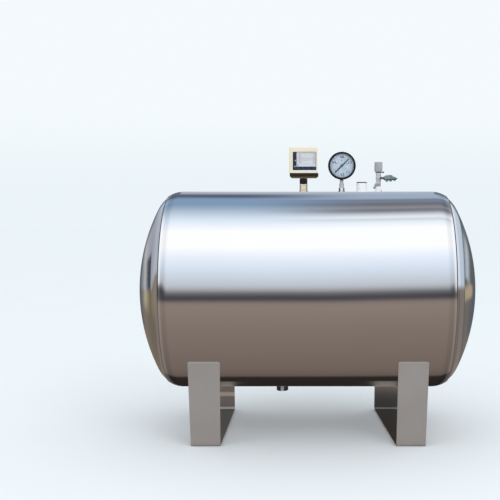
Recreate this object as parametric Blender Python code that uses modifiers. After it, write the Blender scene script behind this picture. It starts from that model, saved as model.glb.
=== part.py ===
"""Horizontal well pressure tank on two folded-sheet supports.

A polished stainless vessel, 500 mm across, with two dished heads lapped into the rolled-in ends of its shell.
On top stand a pressure switch, a dial pressure gauge, an open spare socket and a relief valve with a test lever.
A drain socket is welded below. Metres, +Z up, the vessel's axis along X, the front towards -Y, the floor at Z = 0.
"""

import math

import bmesh
import bpy
from mathutils import Matrix, Vector

# Clearances
GAP = 0.0003            # between pieces that seat on, or fit in, each other
RUN = 0.0003            # round an arbor or pin in its hole
OVERLAP = 0.001         # how far a helper shape reaches into, or a drill out of, the piece it shapes

# Vessel
TANK_DIAMETER = 0.500
SHELL_LENGTH = 0.6295    # straight part, between the two rolled-in ends
SHELL_WALL = 0.002
ROLL_RADIUS = 0.0682    # outside radius of the shell's rolled-in ends
ROLL_ANGLE = math.radians(33.0)
HEAD_WALL = 0.002
HEAD_CROWN_RADIUS = 0.449
HEAD_RIM_ANGLE = math.radians(8.0)
HEAD_BOSS_RADIUS = 0.0035
HEAD_BOSS_HEIGHT = 0.0022
TANK_SIDES = 48

# Supports: one folded strip each
GROUND_CLEARANCE = 0.1125
SUPPORT_SPREAD = 0.391  # over the outside of the front and the rear plate
SUPPORT_SHEET = 0.003
SUPPORT_BEND = 0.006
SUPPORT_TOP_INSET = 0.02555  # from the end of the shell's straight part to the strip's outer edge
SUPPORT_TOP_WIDTH = 0.0746
SUPPORT_FOOT_INSET = 0.03135
SUPPORT_FOOT_WIDTH = 0.0705
REAR_SHIFT_LEFT = 0.0085     # how far the rear plate stands nearer the middle than the front one
REAR_SHIFT_RIGHT = 0.0250

# Drain and spare sockets
DRAIN_X = -0.0654
DRAIN_OUTER_RADIUS = 0.0151
DRAIN_BORE_RADIUS = 0.0105
DRAIN_HEIGHT = 0.0150
SPARE_X = 0.1384
SPARE_OUTER_RADIUS = 0.0135
SPARE_BORE_RADIUS = 0.0095
SPARE_HEIGHT = 0.0245
SOCKET_CHAMFER = 0.0012

# Pressure gauge
GAUGE_X = 0.0870
GAUGE_SOCKET_RADIUS = 0.0073
GAUGE_SOCKET_BORE = 0.0051
GAUGE_SOCKET_HEIGHT = 0.0095
GAUGE_THREAD_RADIUS = 0.0048
GAUGE_THREAD_LENGTH = 0.0060
GAUGE_FLATS = 0.0107         # across the wrench flats of the stem
GAUGE_FLATS_HEIGHT = 0.0110
GAUGE_NECK_RADIUS = 0.0046
GAUGE_NECK_HEIGHT = 0.0095
GAUGE_PORT_RADIUS = 0.0012
BEZEL_RADIUS = 0.0350
BEZEL_FACE = 0.0040          # width of the ring seen from the front
BEZEL_DEPTH = 0.0100
BEZEL_WALL = 0.0015
BEZEL_EDGE = 0.0010
BEZEL_NOTCH = 0.0080         # how far the notch for the neck reaches up from the bezel's lowest point
CASE_WALL = 0.0012
CASE_DEPTH = 0.0290
CASE_EDGE = 0.0020
LENS_THICKNESS = 0.0020
DIAL_THICKNESS = 0.0008
DIAL_PLAY = 0.0010            # between the dial's rim and the inside of the case
DIAL_HOLE_RADIUS = 0.0022
DIAL_SCREW_SPREAD = 0.0274
DIAL_SCREW_RISE = 0.0068
DIAL_SCREW_RADIUS = 0.0012
DIAL_SCREW_HEAD_RADIUS = 0.0022
DIAL_SCREW_HEAD_HEIGHT = 0.0009
POINTER_THICKNESS = 0.0006
POINTER_TIP_MARGIN = 0.0065   # from the dial's rim to the needle's tip, and to its tail's end
POINTER_TAIL_MARGIN = 0.0075
POINTER_HUB_RADIUS = 0.0028
POINTER_HUB_HEIGHT = 0.0016
POINTER_TIP_HALF = 0.00015    # half the needle's width at its tip, and at its tail
POINTER_TAIL_HALF = 0.00075
POINTER_ZERO = math.radians(225.0)   # clockwise from the top, seen from the front
MOVEMENT_PLATE = 0.0008
MOVEMENT_WIDTH = 0.0200
MOVEMENT_TOP = 0.0100         # top of the plates above the spindle
MOVEMENT_SEAT = 0.0050        # how far the plates reach down over the stem's block
MOVEMENT_SPACE = 0.0036
PILLAR_RADIUS = 0.0013
PILLAR_SPREAD = 0.0160
SPINDLE_RADIUS = 0.0008
GEAR_MODULE = 0.0003
GEAR_WIDTH = 0.0012
GEAR_PLAY = 0.00003          # each flank's share of the backlash
PINION_TEETH = 12
SECTOR_FULL_TEETH = 81
SECTOR_TEETH = 13
SECTOR_ADDENDUM = 0.6         # in modules, short so that its tips clear the pinion's roots
SECTOR_TAIL = 0.0060
SECTOR_TAIL_ANGLE = math.radians(165.0)
BOURDON_SETBACK = 0.0095      # from the inside of the case to the middle of the tube
BOURDON_WIDTH = 0.0064
BOURDON_THICKNESS = 0.0026
BOURDON_START = math.radians(185.0)  # clockwise from the top, seen from the front
BOURDON_ARC = math.radians(280.0)
TIP_LUG_RADIUS = 0.0010
LINK_THICKNESS = 0.0006
LINK_WIDTH = 0.0024
LINK_PIN_RADIUS = 0.0005

# Pressure switch
SWITCH_X = -0.0101
SWITCH_SOCKET_RADIUS = 0.0098
SWITCH_SOCKET_HEIGHT = 0.0188
SWITCH_SOCKET_BORE = 0.0045
SWITCH_NUT_FLATS = 0.0196
SWITCH_NUT_HEIGHT = 0.0145
SWITCH_NUT_BORE = 0.0030
SWITCH_NUT_TAIL = 0.0080      # threaded length in the socket
SWITCH_NUT_EDGE = 0.0008
SWITCH_BASE_WIDTH = 0.0725
SWITCH_BASE_DEPTH = 0.0500
SWITCH_BASE_HEIGHT = 0.0128
SWITCH_BASE_BEVEL = 0.0012
SWITCH_BASE_OFFSET = 0.0014  # middle of the base to the right of the pipe's axis
SWITCH_FLOOR = 0.0030
COVER_WIDTH = 0.0707
COVER_DEPTH = 0.0480
COVER_HEIGHT = 0.0640
COVER_WALL = 0.0016
COVER_OFFSET = -0.0006
COVER_CORNER = 0.0020
WINDOW_LEFT = 0.0270         # from the pipe's axis to the window's left edge
WINDOW_RIGHT = 0.0322
WINDOW_FOOT = 0.0070         # above the cover's lower edge
WINDOW_HEIGHT = 0.0460
PANEL_THICKNESS = 0.0012
PANEL_SETBACK = 0.0020
PANEL_REACH = 0.0030         # how far the panel goes up behind the window's upper edge
PANEL_MARGIN = 0.0005        # and past each of its sides
SCALE_LEFT = 0.0095          # width of the dark panel left beside, and below, the scale plate
SCALE_FOOT = 0.0088
SCALE_THICKNESS = 0.0006
CHASSIS_SHEET = 0.0015
CHASSIS_WIDTH = 0.0600
CHASSIS_HEIGHT = 0.0440
CHASSIS_REAR = 0.0150        # upright's distance behind the pipe's axis
CHASSIS_TOP_DEPTH = 0.0240
CHASSIS_INSET = 0.0030       # foot plate's front edge behind the inside of the cover
BELLOWS_RADIUS = 0.0090
BELLOWS_FOLDS = 3
BELLOWS_FOLD_HEIGHT = 0.0029
BELLOWS_FOLD_DEPTH = 0.0020
THRUST_PIN_RADIUS = 0.0022
THRUST_PIN_HEIGHT = 0.0040
ARM_THICKNESS = 0.0020
ARM_WIDTH = 0.0100
ARM_PIVOT = 0.0220           # pivot's distance to the left of the pipe's axis
ARM_REACH = 0.0180           # arm's end to the right of the axis
ARM_PIN_RADIUS = 0.0015
ARM_EAR = 0.0015
ARM_TILT = math.radians(2.0)   # how far the bellows lift the arm
SPRING_X = 0.0110
RANGE_SPRING_RADIUS = 0.0042
RANGE_WIRE_RADIUS = 0.0006
RANGE_SPRING_TURNS = 5
RANGE_SPRING_LENGTH = 0.0210
RANGE_SCREW_RADIUS = 0.0016
RANGE_SCREW_HEAD_RADIUS = 0.0032
RANGE_SCREW_HEAD_HEIGHT = 0.0022
RANGE_SEAT_RADIUS = 0.0058
RANGE_SEAT_THICKNESS = 0.0014
RANGE_SCREW_TAIL = 0.0080
RANGE_SLOT_WIDTH = 0.0010
RANGE_SLOT_DEPTH = 0.0010
CONTACT_WIDTH = 0.0180
CONTACT_DEPTH = 0.0090
CONTACT_HEIGHT = 0.0140
CONTACT_X = -0.0110
CONTACT_EDGE = 0.0006
PLUNGER_RADIUS = 0.0012
PLUNGER_HEIGHT = 0.0022

# Relief valve
RELIEF_X = 0.1805
NIPPLE_RADIUS = 0.0064        # under its chamfer; it widens to the other radius at the tank
NIPPLE_FOOT_RADIUS = 0.0085
NIPPLE_CHAMFER = 0.0012
NIPPLE_CHAMFER_HEIGHT = 0.0020
NIPPLE_HEIGHT = 0.0130
NIPPLE_BORE = 0.0026
NIPPLE_TENON_RADIUS = 0.0042
NIPPLE_TENON_HEIGHT = 0.0055
BODY_RADIUS = 0.0068
BODY_HEIGHT = 0.0340
BODY_BORE = 0.0046
BODY_NECK_RADIUS = 0.0065
BODY_SEAT_Z = 0.0090         # seat ledge above the body's lower end
BODY_SEAT_BORE = 0.0024
BODY_WAIST_RADIUS = 0.0059
SPOUT_ANGLE = math.radians(45.0)
SPOUT_LENGTH = 0.0175
SPOUT_MOUTH_RADIUS = 0.0027
SPOUT_ROOT_RADIUS = 0.0055
SPOUT_BORE = 0.0017
SPOUT_RISE = 0.0105
DISC_RADIUS = 0.0036
DISC_THICKNESS = 0.0022
VALVE_STEM_RADIUS = 0.0012
STEM_COLLAR_RADIUS = 0.0034
STEM_COLLAR_THICKNESS = 0.0012
STEM_RISE = 0.0080           # stem's end above the collar
RELIEF_WIRE_RADIUS = 0.0005
RELIEF_SPRING_RADIUS = 0.0026
RELIEF_SPRING_TURNS = 6
LOCK_RING_RADIUS = 0.0079
LOCK_RING_THICKNESS = 0.0026
LOCK_SCREW_RADIUS = 0.0011
LOCK_SCREW_LENGTH = 0.0060
LOCK_KNOB_RADIUS = 0.0019
LOCK_KNOB_LENGTH = 0.0030
LOCK_KNOB_EDGE = 0.0005
LOCK_EDGE = 0.0004           # chamfer of the ring, and the knob's overlap on its screw
LOCK_SCREW_DEPTH = 0.0022    # how far the screw reaches into the ring
CAP_RADIUS = 0.01015
CAP_HEIGHT = 0.0245
CAP_WALL = 0.0020
CAP_EDGE = 0.0008
LEVER_PIVOT_X = 0.0105       # to the right of the valve's axis
LEVER_LENGTH = 0.0385        # pivot to tip
LEVER_THICKNESS = 0.0060
LEVER_HEIGHT = 0.0180
# The lever's outline from above its pivot round the tip to below it: shares of its length, and of its height.
LEVER_UPPER = ((0.03, 0.160), (0.10, 0.215), (0.17, 0.320), (0.27, 0.385), (0.38, 0.420), (0.50, 0.435), (0.58, 0.430),
               (0.64, 0.375), (0.69, 0.260), (0.78, 0.185), (0.87, 0.105), (0.95, 0.005), (1.00, -0.067))
LEVER_LOWER = ((0.93, -0.100), (0.88, -0.160), (0.86, -0.320), (0.83, -0.440), (0.79, -0.410), (0.74, -0.335),
               (0.69, -0.300), (0.64, -0.340), (0.59, -0.460), (0.55, -0.525), (0.51, -0.500), (0.46, -0.410),
               (0.41, -0.375), (0.36, -0.430), (0.32, -0.530), (0.28, -0.560), (0.24, -0.500), (0.19, -0.360),
               (0.11, -0.270), (0.05, -0.200))
LEVER_FINGER_THICKNESS = 0.0016
LEVER_FINGER_WIDTH = 0.0026
LEVER_FINGER_END = 0.0019    # distance from the valve's axis to the finger's end
LEVER_HUB_RADIUS = 0.0034
LEVER_TRAVEL = math.radians(14.0)
WINDOW_PLAY = 0.0006         # round the lever's finger and hub
PIN_RADIUS = 0.0012
EAR_THICKNESS = 0.0016
EAR_RADIUS = 0.0030

# Worked out from the sizes above
TANK_RADIUS = TANK_DIAMETER / 2
AXIS_Z = GROUND_CLEARANCE + TANK_RADIUS
TOP_Z = AXIS_Z + TANK_RADIUS
BOTTOM_Z = AXIS_Z - TANK_RADIUS
ROLL_CENTRE = TANK_RADIUS - ROLL_RADIUS
HALF_SHELL = SHELL_LENGTH / 2
SUPPORT_TOP_OUTER = HALF_SHELL - SUPPORT_TOP_INSET
SUPPORT_TOP_INNER = SUPPORT_TOP_OUTER - SUPPORT_TOP_WIDTH
SUPPORT_FOOT_OUTER = HALF_SHELL - SUPPORT_FOOT_INSET
SUPPORT_FOOT_INNER = SUPPORT_FOOT_OUTER - SUPPORT_FOOT_WIDTH


def collection(name):
    made = bpy.data.collections.new(name)
    bpy.context.scene.collection.children.link(made)
    return made


def material(name, color, roughness, metallic, alpha=1.0):
    made = bpy.data.materials.new(name)
    made.use_nodes = True
    shader = made.node_tree.nodes["Principled BSDF"]
    shader.inputs["Base Color"].default_value = (*color, 1.0)
    shader.inputs["Roughness"].default_value = roughness
    shader.inputs["Metallic"].default_value = metallic
    shader.inputs["Alpha"].default_value = alpha
    made.diffuse_color = (*color, alpha)
    return made


def keep(obj, look=None):
    """Puts a finished piece in the tank's collection, or a cutter in the other one."""
    if look is None:
        obj.hide_render = True
        obj.display_type = "WIRE"
        CUTTERS.objects.link(obj)
    else:
        obj.data.materials.append(look)
        PIECES.objects.link(obj)
    return obj


def smooth(mesh, angle=35.0):
    mesh.shade_smooth()
    mesh.set_sharp_from_angle(angle=math.radians(angle))


def turned(name, profile, look, place=(0, 0, 0), turn=(0, 0, 0), steps=24, ring=False):
    """Revolves a profile of (radius, height) points that runs down its outer side; a ring's profile closes on itself."""
    mesh = bpy.data.meshes.new(name)
    edges = [(i, i + 1) for i in range(len(profile) - 1)]
    if ring:
        edges.append((len(profile) - 1, 0))
    mesh.from_pydata([(r, 0.0, z) for r, z in profile], edges, [])
    obj = bpy.data.objects.new(name, mesh)
    obj.location = place
    obj.rotation_euler = turn
    screw = obj.modifiers.new("Turn", "SCREW")
    screw.steps = steps
    screw.render_steps = steps
    screw.use_merge_vertices = True
    screw.merge_threshold = 0.00001
    return keep(obj, look)


def from_bmesh(name, bm, look, place=(0, 0, 0), turn=(0, 0, 0), bevel=0.0, segments=2):
    mesh = bpy.data.meshes.new(name)
    bm.to_mesh(mesh)
    bm.free()
    smooth(mesh)
    obj = bpy.data.objects.new(name, mesh)
    obj.location = place
    obj.rotation_euler = turn
    if bevel > 0:
        rounding = obj.modifiers.new("Edges", "BEVEL")
        rounding.width = bevel
        rounding.segments = segments
    return keep(obj, look)


def block(name, size, look, place, bevel=0.0, segments=2):
    bm = bmesh.new()
    bmesh.ops.create_cube(bm, size=1.0, matrix=Matrix.Diagonal((*size, 1.0)))
    return from_bmesh(name, bm, look, place, bevel=bevel, segments=segments)


def rod(name, radius, length, look, place, turn=(0, 0, 0), sides=20, top_radius=None, bevel=0.0):
    """A cylinder, cone or prism along its own Z, centred on its place."""
    bm = bmesh.new()
    bmesh.ops.create_cone(
        bm, cap_ends=True, segments=sides, radius1=radius,
        radius2=radius if top_radius is None else top_radius, depth=length,
    )
    return from_bmesh(name, bm, look, place, turn, bevel, 1)


def hexagon(name, flats, height, look, place, bevel=0.0):
    return rod(name, flats / math.sqrt(3), height, look, place, (0, 0, math.radians(30)), 6, bevel=bevel)


def mesh_of_curve(curve):
    """Turns a curve object into a welded mesh object of the same name, so that it can be cut or joined."""
    bpy.context.view_layer.update()
    graph = bpy.context.evaluated_depsgraph_get()
    mesh = bpy.data.meshes.new_from_object(curve.evaluated_get(graph))
    bm = bmesh.new()
    bm.from_mesh(mesh)
    bmesh.ops.remove_doubles(bm, verts=bm.verts, dist=0.000002)
    bmesh.ops.recalc_face_normals(bm, faces=bm.faces)
    bm.to_mesh(mesh)
    bm.free()
    name = curve.name
    made = bpy.data.objects.new(name + "_mesh", mesh)
    made.matrix_world = curve.matrix_world
    for owner in curve.users_collection:
        owner.objects.link(made)
    made.hide_render = curve.hide_render
    made.display_type = curve.display_type
    bpy.data.objects.remove(curve)
    made.name = name
    return made


def plate(name, outline, thickness, look, place=(0, 0, 0), turn=(math.radians(90), 0, 0), holes=()):
    """A flat outline of (x, z) points with its thickness along Y; holes are further outlines inside it."""
    data = bpy.data.curves.new(name, "CURVE")
    data.dimensions = "2D"
    data.fill_mode = "BOTH"
    data.extrude = thickness / 2
    for loop in (outline, *holes):
        spline = data.splines.new("POLY")
        spline.points.add(len(loop) - 1)
        for point, (x, z) in zip(spline.points, loop):
            point.co = (x, z, 0.0, 1.0)
        spline.use_cyclic_u = True
    obj = bpy.data.objects.new(name, data)
    obj.location = place
    obj.rotation_euler = turn
    return mesh_of_curve(keep(obj, look))


def wire(name, points, radius, look, place=(0, 0, 0), resolution=1):
    data = bpy.data.curves.new(name, "CURVE")
    data.dimensions = "3D"
    data.bevel_depth = radius
    data.bevel_resolution = resolution
    data.use_fill_caps = True
    spline = data.splines.new("POLY")
    spline.points.add(len(points) - 1)
    for point, co in zip(spline.points, points):
        point.co = (*co, 1.0)
    obj = bpy.data.objects.new(name, data)
    obj.location = place
    return keep(obj, look)


def boolean(obj, tool, operation):
    modifier = obj.modifiers.new(tool.name, "BOOLEAN")
    modifier.operation = operation
    modifier.solver = "EXACT"
    modifier.object = tool
    return obj


def cut(obj, *tools):
    for tool in tools:
        boolean(obj, tool, "DIFFERENCE")
    return obj


def join(obj, *tools):
    """Unites helper shapes with a piece; the helpers themselves stay out of the model."""
    for tool in tools:
        boolean(obj, tool, "UNION")
    return obj


def arc(cx, cy, radius, start, end, count):
    """Points along a circle; angles from the first axis towards the second."""
    return [
        (cx + radius * math.cos(start + (end - start) * i / count),
         cy + radius * math.sin(start + (end - start) * i / count))
        for i in range(count + 1)
    ]


def clock(radius, angle):
    """(x, z) of a point on a dial, the angle clockwise from the top."""
    return radius * math.sin(angle), radius * math.cos(angle)


def hole(name, x, radius, z_low, z_high, y=0.0, sides=24):
    """A vertical drill."""
    return rod(name, radius, z_high - z_low, None, (x, y, (z_low + z_high) / 2), sides=sides)


def tank_skin(name, radius):
    """A cylinder round the vessel's axis, with the same facets as the shell, to fit other pieces to its outside."""
    return rod(name, radius, SHELL_LENGTH, None, (0, 0, AXIS_Z), (0, math.radians(90), 0), TANK_SIDES)


def make_shell():
    """Rolled sheet: a straight cylinder whose two ends are rolled in over the heads, with a hole under each fitting."""
    def side(radius, wall_in):
        roll = ROLL_RADIUS - wall_in
        right = [(ROLL_CENTRE + roll * math.cos(a), HALF_SHELL + roll * math.sin(a))
                 for a in (ROLL_ANGLE * i / 3 for i in range(3, -1, -1))]
        return right + [(r, -z) for r, z in reversed(right)]

    outer = side(TANK_RADIUS, 0.0)
    inner = side(TANK_RADIUS, SHELL_WALL)
    shell = turned(
        "tank_shell", outer + inner[::-1], STEEL, (0, 0, AXIS_Z), (0, math.radians(90), 0), TANK_SIDES, ring=True,
    )
    deep = TANK_RADIUS / 2
    ports = (
        ("switch_port_drill", SWITCH_X, SWITCH_SOCKET_BORE), ("gauge_port_drill", GAUGE_X, GAUGE_SOCKET_BORE),
        ("spare_port_drill", SPARE_X, SPARE_BORE_RADIUS), ("relief_port_drill", RELIEF_X, NIPPLE_BORE),
    )
    for name, x, radius in ports:
        cut(shell, hole(name, x, radius, AXIS_Z + deep, TOP_Z + GAP * 10, sides=16))
    return cut(shell, hole("drain_port_drill", DRAIN_X, DRAIN_BORE_RADIUS, BOTTOM_Z - GAP * 10, AXIS_Z - deep))


def make_head(name, side):
    """Dished head: its knuckle tucks under the shell's rolled-in end, and its crown carries a small centre boss."""
    knuckle = ROLL_RADIUS - SHELL_WALL - GAP
    crown_z = HALF_SHELL - math.sqrt((HEAD_CROWN_RADIUS - knuckle) ** 2 - ROLL_CENTRE ** 2)
    meet = math.atan2(ROLL_CENTRE, HALF_SHELL - crown_z)

    def surface(wall, crown_steps, knuckle_steps):
        crown = [(crown_r * math.sin(a), crown_z + crown_r * math.cos(a))
                 for crown_r in (HEAD_CROWN_RADIUS - wall,)
                 for a in (meet * i / crown_steps for i in range(crown_steps + 1))]
        rim = math.pi / 2 - HEAD_RIM_ANGLE
        bend = [(ROLL_CENTRE + (knuckle - wall) * math.sin(a), HALF_SHELL + (knuckle - wall) * math.cos(a))
                for a in (meet + (rim - meet) * i / knuckle_steps for i in range(1, knuckle_steps + 1))]
        return crown + bend

    outer = surface(0.0, 4, 4)
    inner = surface(HEAD_WALL, 2, 3)
    tip = outer[0][1]
    boss = [(0.0, tip + HEAD_BOSS_HEIGHT), (HEAD_BOSS_RADIUS * 0.8, tip + HEAD_BOSS_HEIGHT),
            (HEAD_BOSS_RADIUS, tip + HEAD_BOSS_HEIGHT * 0.6), (HEAD_BOSS_RADIUS, tip)]
    profile = boss + outer[1:] + inner[::-1]
    return turned(name, profile, STEEL, (0, 0, AXIS_Z), (0, side * math.radians(90), 0), TANK_SIDES)


def make_support(name, side, rear_shift):
    """One strip folded into a U: front plate, foot plate on the floor and rear plate, its top edges fitted to the tank."""
    half = SUPPORT_SPREAD / 2
    top = AXIS_Z - math.sqrt(TANK_RADIUS ** 2 - half ** 2) + SUPPORT_BEND
    bend = arc(half - SUPPORT_BEND, SUPPORT_BEND, SUPPORT_BEND, 0.0, -math.pi / 2, 4)
    path = [(half, top)] + bend
    path = [(-y, z) for y, z in path] + [(y, z) for y, z in reversed(path)]
    bm = bmesh.new()
    rows = []
    for y, z in path:
        share = z / top
        inner = SUPPORT_FOOT_INNER + (SUPPORT_TOP_INNER - SUPPORT_FOOT_INNER) * share
        outer = SUPPORT_FOOT_OUTER + (SUPPORT_TOP_OUTER - SUPPORT_FOOT_OUTER) * share
        back = rear_shift * (y + half) / SUPPORT_SPREAD
        rows.append([bm.verts.new((side * (x - back), y, z)) for x in (inner, outer)])
    for (a, b), (c, d) in zip(rows, rows[1:]):
        bm.faces.new((a, b, d, c))
    bmesh.ops.recalc_face_normals(bm, faces=bm.faces)
    support = from_bmesh(name, bm, PLATE)
    folded = support.modifiers.new("Sheet", "SOLIDIFY")
    folded.thickness = SUPPORT_SHEET
    folded.use_even_offset = True
    # The strip drawn above is the outside of the U, so the sheet grows inwards, away from the floor.
    middle = bm_normal_z(support)
    folded.offset = -1.0 if middle < 0 else 1.0
    return cut(support, SKIN)


def bm_normal_z(obj):
    """Z of the normal of the face that lies lowest."""
    faces = obj.data.polygons
    lowest = min(faces, key=lambda face: sum(obj.data.vertices[v].co.z for v in face.vertices) / len(face.vertices))
    return lowest.normal.z


def socket(name, x, outer_radius, bore, height, look, up=True, chamfer=SOCKET_CHAMFER):
    """A welded socket: a ring with chamfered mouth whose foot is fitted to the tank."""
    deep = outer_radius ** 2 / TANK_RADIUS + GAP * 2
    profile = [
        (outer_radius - chamfer, height), (outer_radius, height - chamfer), (outer_radius, -deep),
        (bore, -deep), (bore, height - chamfer / 2), (bore + chamfer / 2, height),
    ]
    turn = (0, 0, 0) if up else (math.pi, 0, 0)
    made = turned(name, profile, look, (x, 0, TOP_Z if up else BOTTOM_Z), turn, 24, ring=True)
    return cut(made, SKIN)


def make_gauge():
    """Dial gauge: a wrench-flat stem carries the case, the Bourdon tube and the movement that turns the pointer."""
    foot = TOP_Z + GAUGE_SOCKET_HEIGHT
    neck = foot + GAP + GAUGE_FLATS_HEIGHT
    case_low = neck + GAUGE_NECK_HEIGHT
    centre = case_low + BEZEL_RADIUS
    case_radius = BEZEL_RADIUS - BEZEL_WALL - GAP
    inside = case_radius - CASE_WALL
    dial_radius = inside - DIAL_PLAY
    tube_radius = inside - BOURDON_SETBACK
    block_half = GAUGE_FLATS / 2
    rear_plate_y = -block_half - GAP - MOVEMENT_PLATE / 2
    gear_y = rear_plate_y - MOVEMENT_PLATE / 2 - MOVEMENT_SPACE / 2
    front_plate_y = gear_y - MOVEMENT_SPACE / 2 - MOVEMENT_PLATE / 2
    dial_y = front_plate_y - MOVEMENT_PLATE / 2 - GAP - DIAL_THICKNESS / 2
    pointer_y = dial_y - DIAL_THICKNESS / 2 - DIAL_SCREW_HEAD_HEIGHT - GAP * 3 - POINTER_THICKNESS / 2
    lens_y = pointer_y - POINTER_THICKNESS / 2 - POINTER_HUB_HEIGHT - GAP * 3 - LENS_THICKNESS / 2
    bezel_front = lens_y - LENS_THICKNESS / 2 - GAP - BEZEL_WALL
    face_back = (math.radians(90), 0, 0)

    socket("gauge_socket", GAUGE_X, GAUGE_SOCKET_RADIUS, GAUGE_SOCKET_BORE, GAUGE_SOCKET_HEIGHT, STEEL,
           chamfer=0.0006)

    # Stem: thread, wrench flats, neck and the block inside the case, bored for the water.
    block_top = centre - tube_radius - BOURDON_THICKNESS / 2 - GAP
    stem = block("gauge_stem", (GAUGE_FLATS, GAUGE_FLATS, GAUGE_FLATS_HEIGHT), CHROME,
                 (GAUGE_X, 0, foot + GAP + GAUGE_FLATS_HEIGHT / 2), 0.0008, 1)
    thread = rod("gauge_thread", GAUGE_THREAD_RADIUS, GAUGE_THREAD_LENGTH + OVERLAP * 2, None,
                 (GAUGE_X, 0, foot + GAP - GAUGE_THREAD_LENGTH / 2 + OVERLAP))
    inner_low = centre - math.sqrt(inside ** 2 - block_half ** 2) + GAP * 2
    neck_rod = rod("gauge_neck", GAUGE_NECK_RADIUS, inner_low - neck + OVERLAP * 2, None,
                   (GAUGE_X, 0, (inner_low + neck) / 2))
    inner_block = block("gauge_inner_block", (GAUGE_FLATS, GAUGE_FLATS, block_top - inner_low), None,
                        (GAUGE_X, 0, (block_top + inner_low) / 2))
    join(stem, thread, neck_rod, inner_block)
    cut(stem, hole("gauge_water_way", GAUGE_X, GAUGE_PORT_RADIUS, foot - GAUGE_THREAD_LENGTH - OVERLAP,
                   block_top - OVERLAP * 3, sides=12))

    # Case: a cup with its back behind the stem, and a hole below for the neck.
    case_back = CASE_DEPTH + bezel_front + BEZEL_DEPTH / 2
    cup = [
        (0.0, 0.0), (case_radius - CASE_EDGE, 0.0), (case_radius, -CASE_EDGE), (case_radius, -CASE_DEPTH),
        (inside, -CASE_DEPTH), (inside, -CASE_WALL - CASE_EDGE / 2), (inside - CASE_EDGE / 2, -CASE_WALL),
        (0.0, -CASE_WALL),
    ]
    case = turned("gauge_case", cup, BLACK, (GAUGE_X, case_back, centre), (-math.radians(90), 0, 0), 28)
    cut(case, hole("gauge_case_hole", GAUGE_X, GAUGE_NECK_RADIUS + GAP, case_low - OVERLAP, centre, sides=20))

    # Bezel: a ring with a lip in front of the lens; a notch below clears the neck.
    lip = BEZEL_RADIUS - BEZEL_FACE
    ring = [
        (lip, 0.0), (BEZEL_RADIUS - BEZEL_EDGE, 0.0), (BEZEL_RADIUS, -BEZEL_EDGE), (BEZEL_RADIUS, -BEZEL_DEPTH),
        (BEZEL_RADIUS - BEZEL_WALL, -BEZEL_DEPTH), (BEZEL_RADIUS - BEZEL_WALL, -BEZEL_WALL), (lip, -BEZEL_WALL),
    ]
    bezel = turned("gauge_bezel", ring, BLACK, (GAUGE_X, bezel_front, centre), face_back, 32, ring=True)
    cut(bezel, hole("gauge_bezel_hole", GAUGE_X, GAUGE_NECK_RADIUS + GAP, case_low - OVERLAP,
                    case_low + BEZEL_NOTCH, sides=20))
    rod("gauge_lens", BEZEL_RADIUS - BEZEL_WALL - GAP, LENS_THICKNESS, GLASS, (GAUGE_X, lens_y, centre),
        face_back, 32)

    # Dial with its spindle hole and its two screws.
    dial = rod("gauge_dial", dial_radius, DIAL_THICKNESS, DIAL, (GAUGE_X, dial_y, centre), face_back, 32)
    cut(dial, rod("gauge_dial_hole", DIAL_HOLE_RADIUS, DIAL_THICKNESS * 4, None, (GAUGE_X, dial_y, centre),
                  face_back, 16))
    screw_length = GAP + DIAL_THICKNESS + MOVEMENT_PLATE
    for name, side in (("gauge_dial_screw_left", -1), ("gauge_dial_screw_right", 1)):
        x = GAUGE_X + side * DIAL_SCREW_SPREAD / 2
        z = centre + DIAL_SCREW_RISE
        head_y = dial_y - DIAL_THICKNESS / 2 - GAP
        profile = [
            (0.0, DIAL_SCREW_HEAD_HEIGHT), (DIAL_SCREW_HEAD_RADIUS * 0.7, DIAL_SCREW_HEAD_HEIGHT),
            (DIAL_SCREW_HEAD_RADIUS, DIAL_SCREW_HEAD_HEIGHT * 0.4), (DIAL_SCREW_HEAD_RADIUS, 0.0),
            (DIAL_SCREW_RADIUS, 0.0), (DIAL_SCREW_RADIUS, -screw_length - GAP * 2), (0.0, -screw_length - GAP * 2),
        ]
        turned(name, profile, CHROME, (x, head_y, z), face_back, 12)
        cut(dial, rod(name + "_hole", DIAL_SCREW_RADIUS + GAP, DIAL_THICKNESS * 4, None, (x, dial_y, z), face_back, 12))

    # Movement frame: two plates joined by pillars, the front one with wings for the dial screws.
    pivot = centre - GEAR_MODULE * (PINION_TEETH + SECTOR_FULL_TEETH) / 2
    frame_low = block_top - MOVEMENT_SEAT
    frame_high = centre + MOVEMENT_TOP
    frame_middle = (frame_low + frame_high) / 2
    frame_height = frame_high - frame_low
    frame = block("gauge_movement_frame", (MOVEMENT_WIDTH, MOVEMENT_PLATE, frame_height), BRASS,
                  (GAUGE_X, rear_plate_y, frame_middle))
    front = block("gauge_front_plate", (MOVEMENT_WIDTH, MOVEMENT_PLATE, frame_height), None,
                  (GAUGE_X, front_plate_y, frame_middle))
    wings = block("gauge_dial_bar", (DIAL_SCREW_SPREAD + DIAL_SCREW_HEAD_RADIUS * 3, MOVEMENT_PLATE,
                                     DIAL_SCREW_HEAD_RADIUS * 2.4), None,
                  (GAUGE_X, front_plate_y, centre + DIAL_SCREW_RISE))
    join(frame, front, wings)
    pillar_span = rear_plate_y - front_plate_y
    pillar_top = frame_high - PILLAR_RADIUS * 2
    pillar_foot = frame_low + PILLAR_RADIUS * 2
    for name, side, z in (("gauge_pillar_a", -1, pillar_top), ("gauge_pillar_b", 1, pillar_top),
                          ("gauge_pillar_c", 1, pillar_foot)):
        join(frame, rod(name, PILLAR_RADIUS, pillar_span, None,
                        (GAUGE_X + side * PILLAR_SPREAD / 2, gear_y, z), face_back, 12))
    long_drill = MOVEMENT_SPACE + MOVEMENT_PLATE * 6
    for name, z in (("gauge_spindle_holes", centre), ("gauge_arbor_holes", pivot)):
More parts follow.
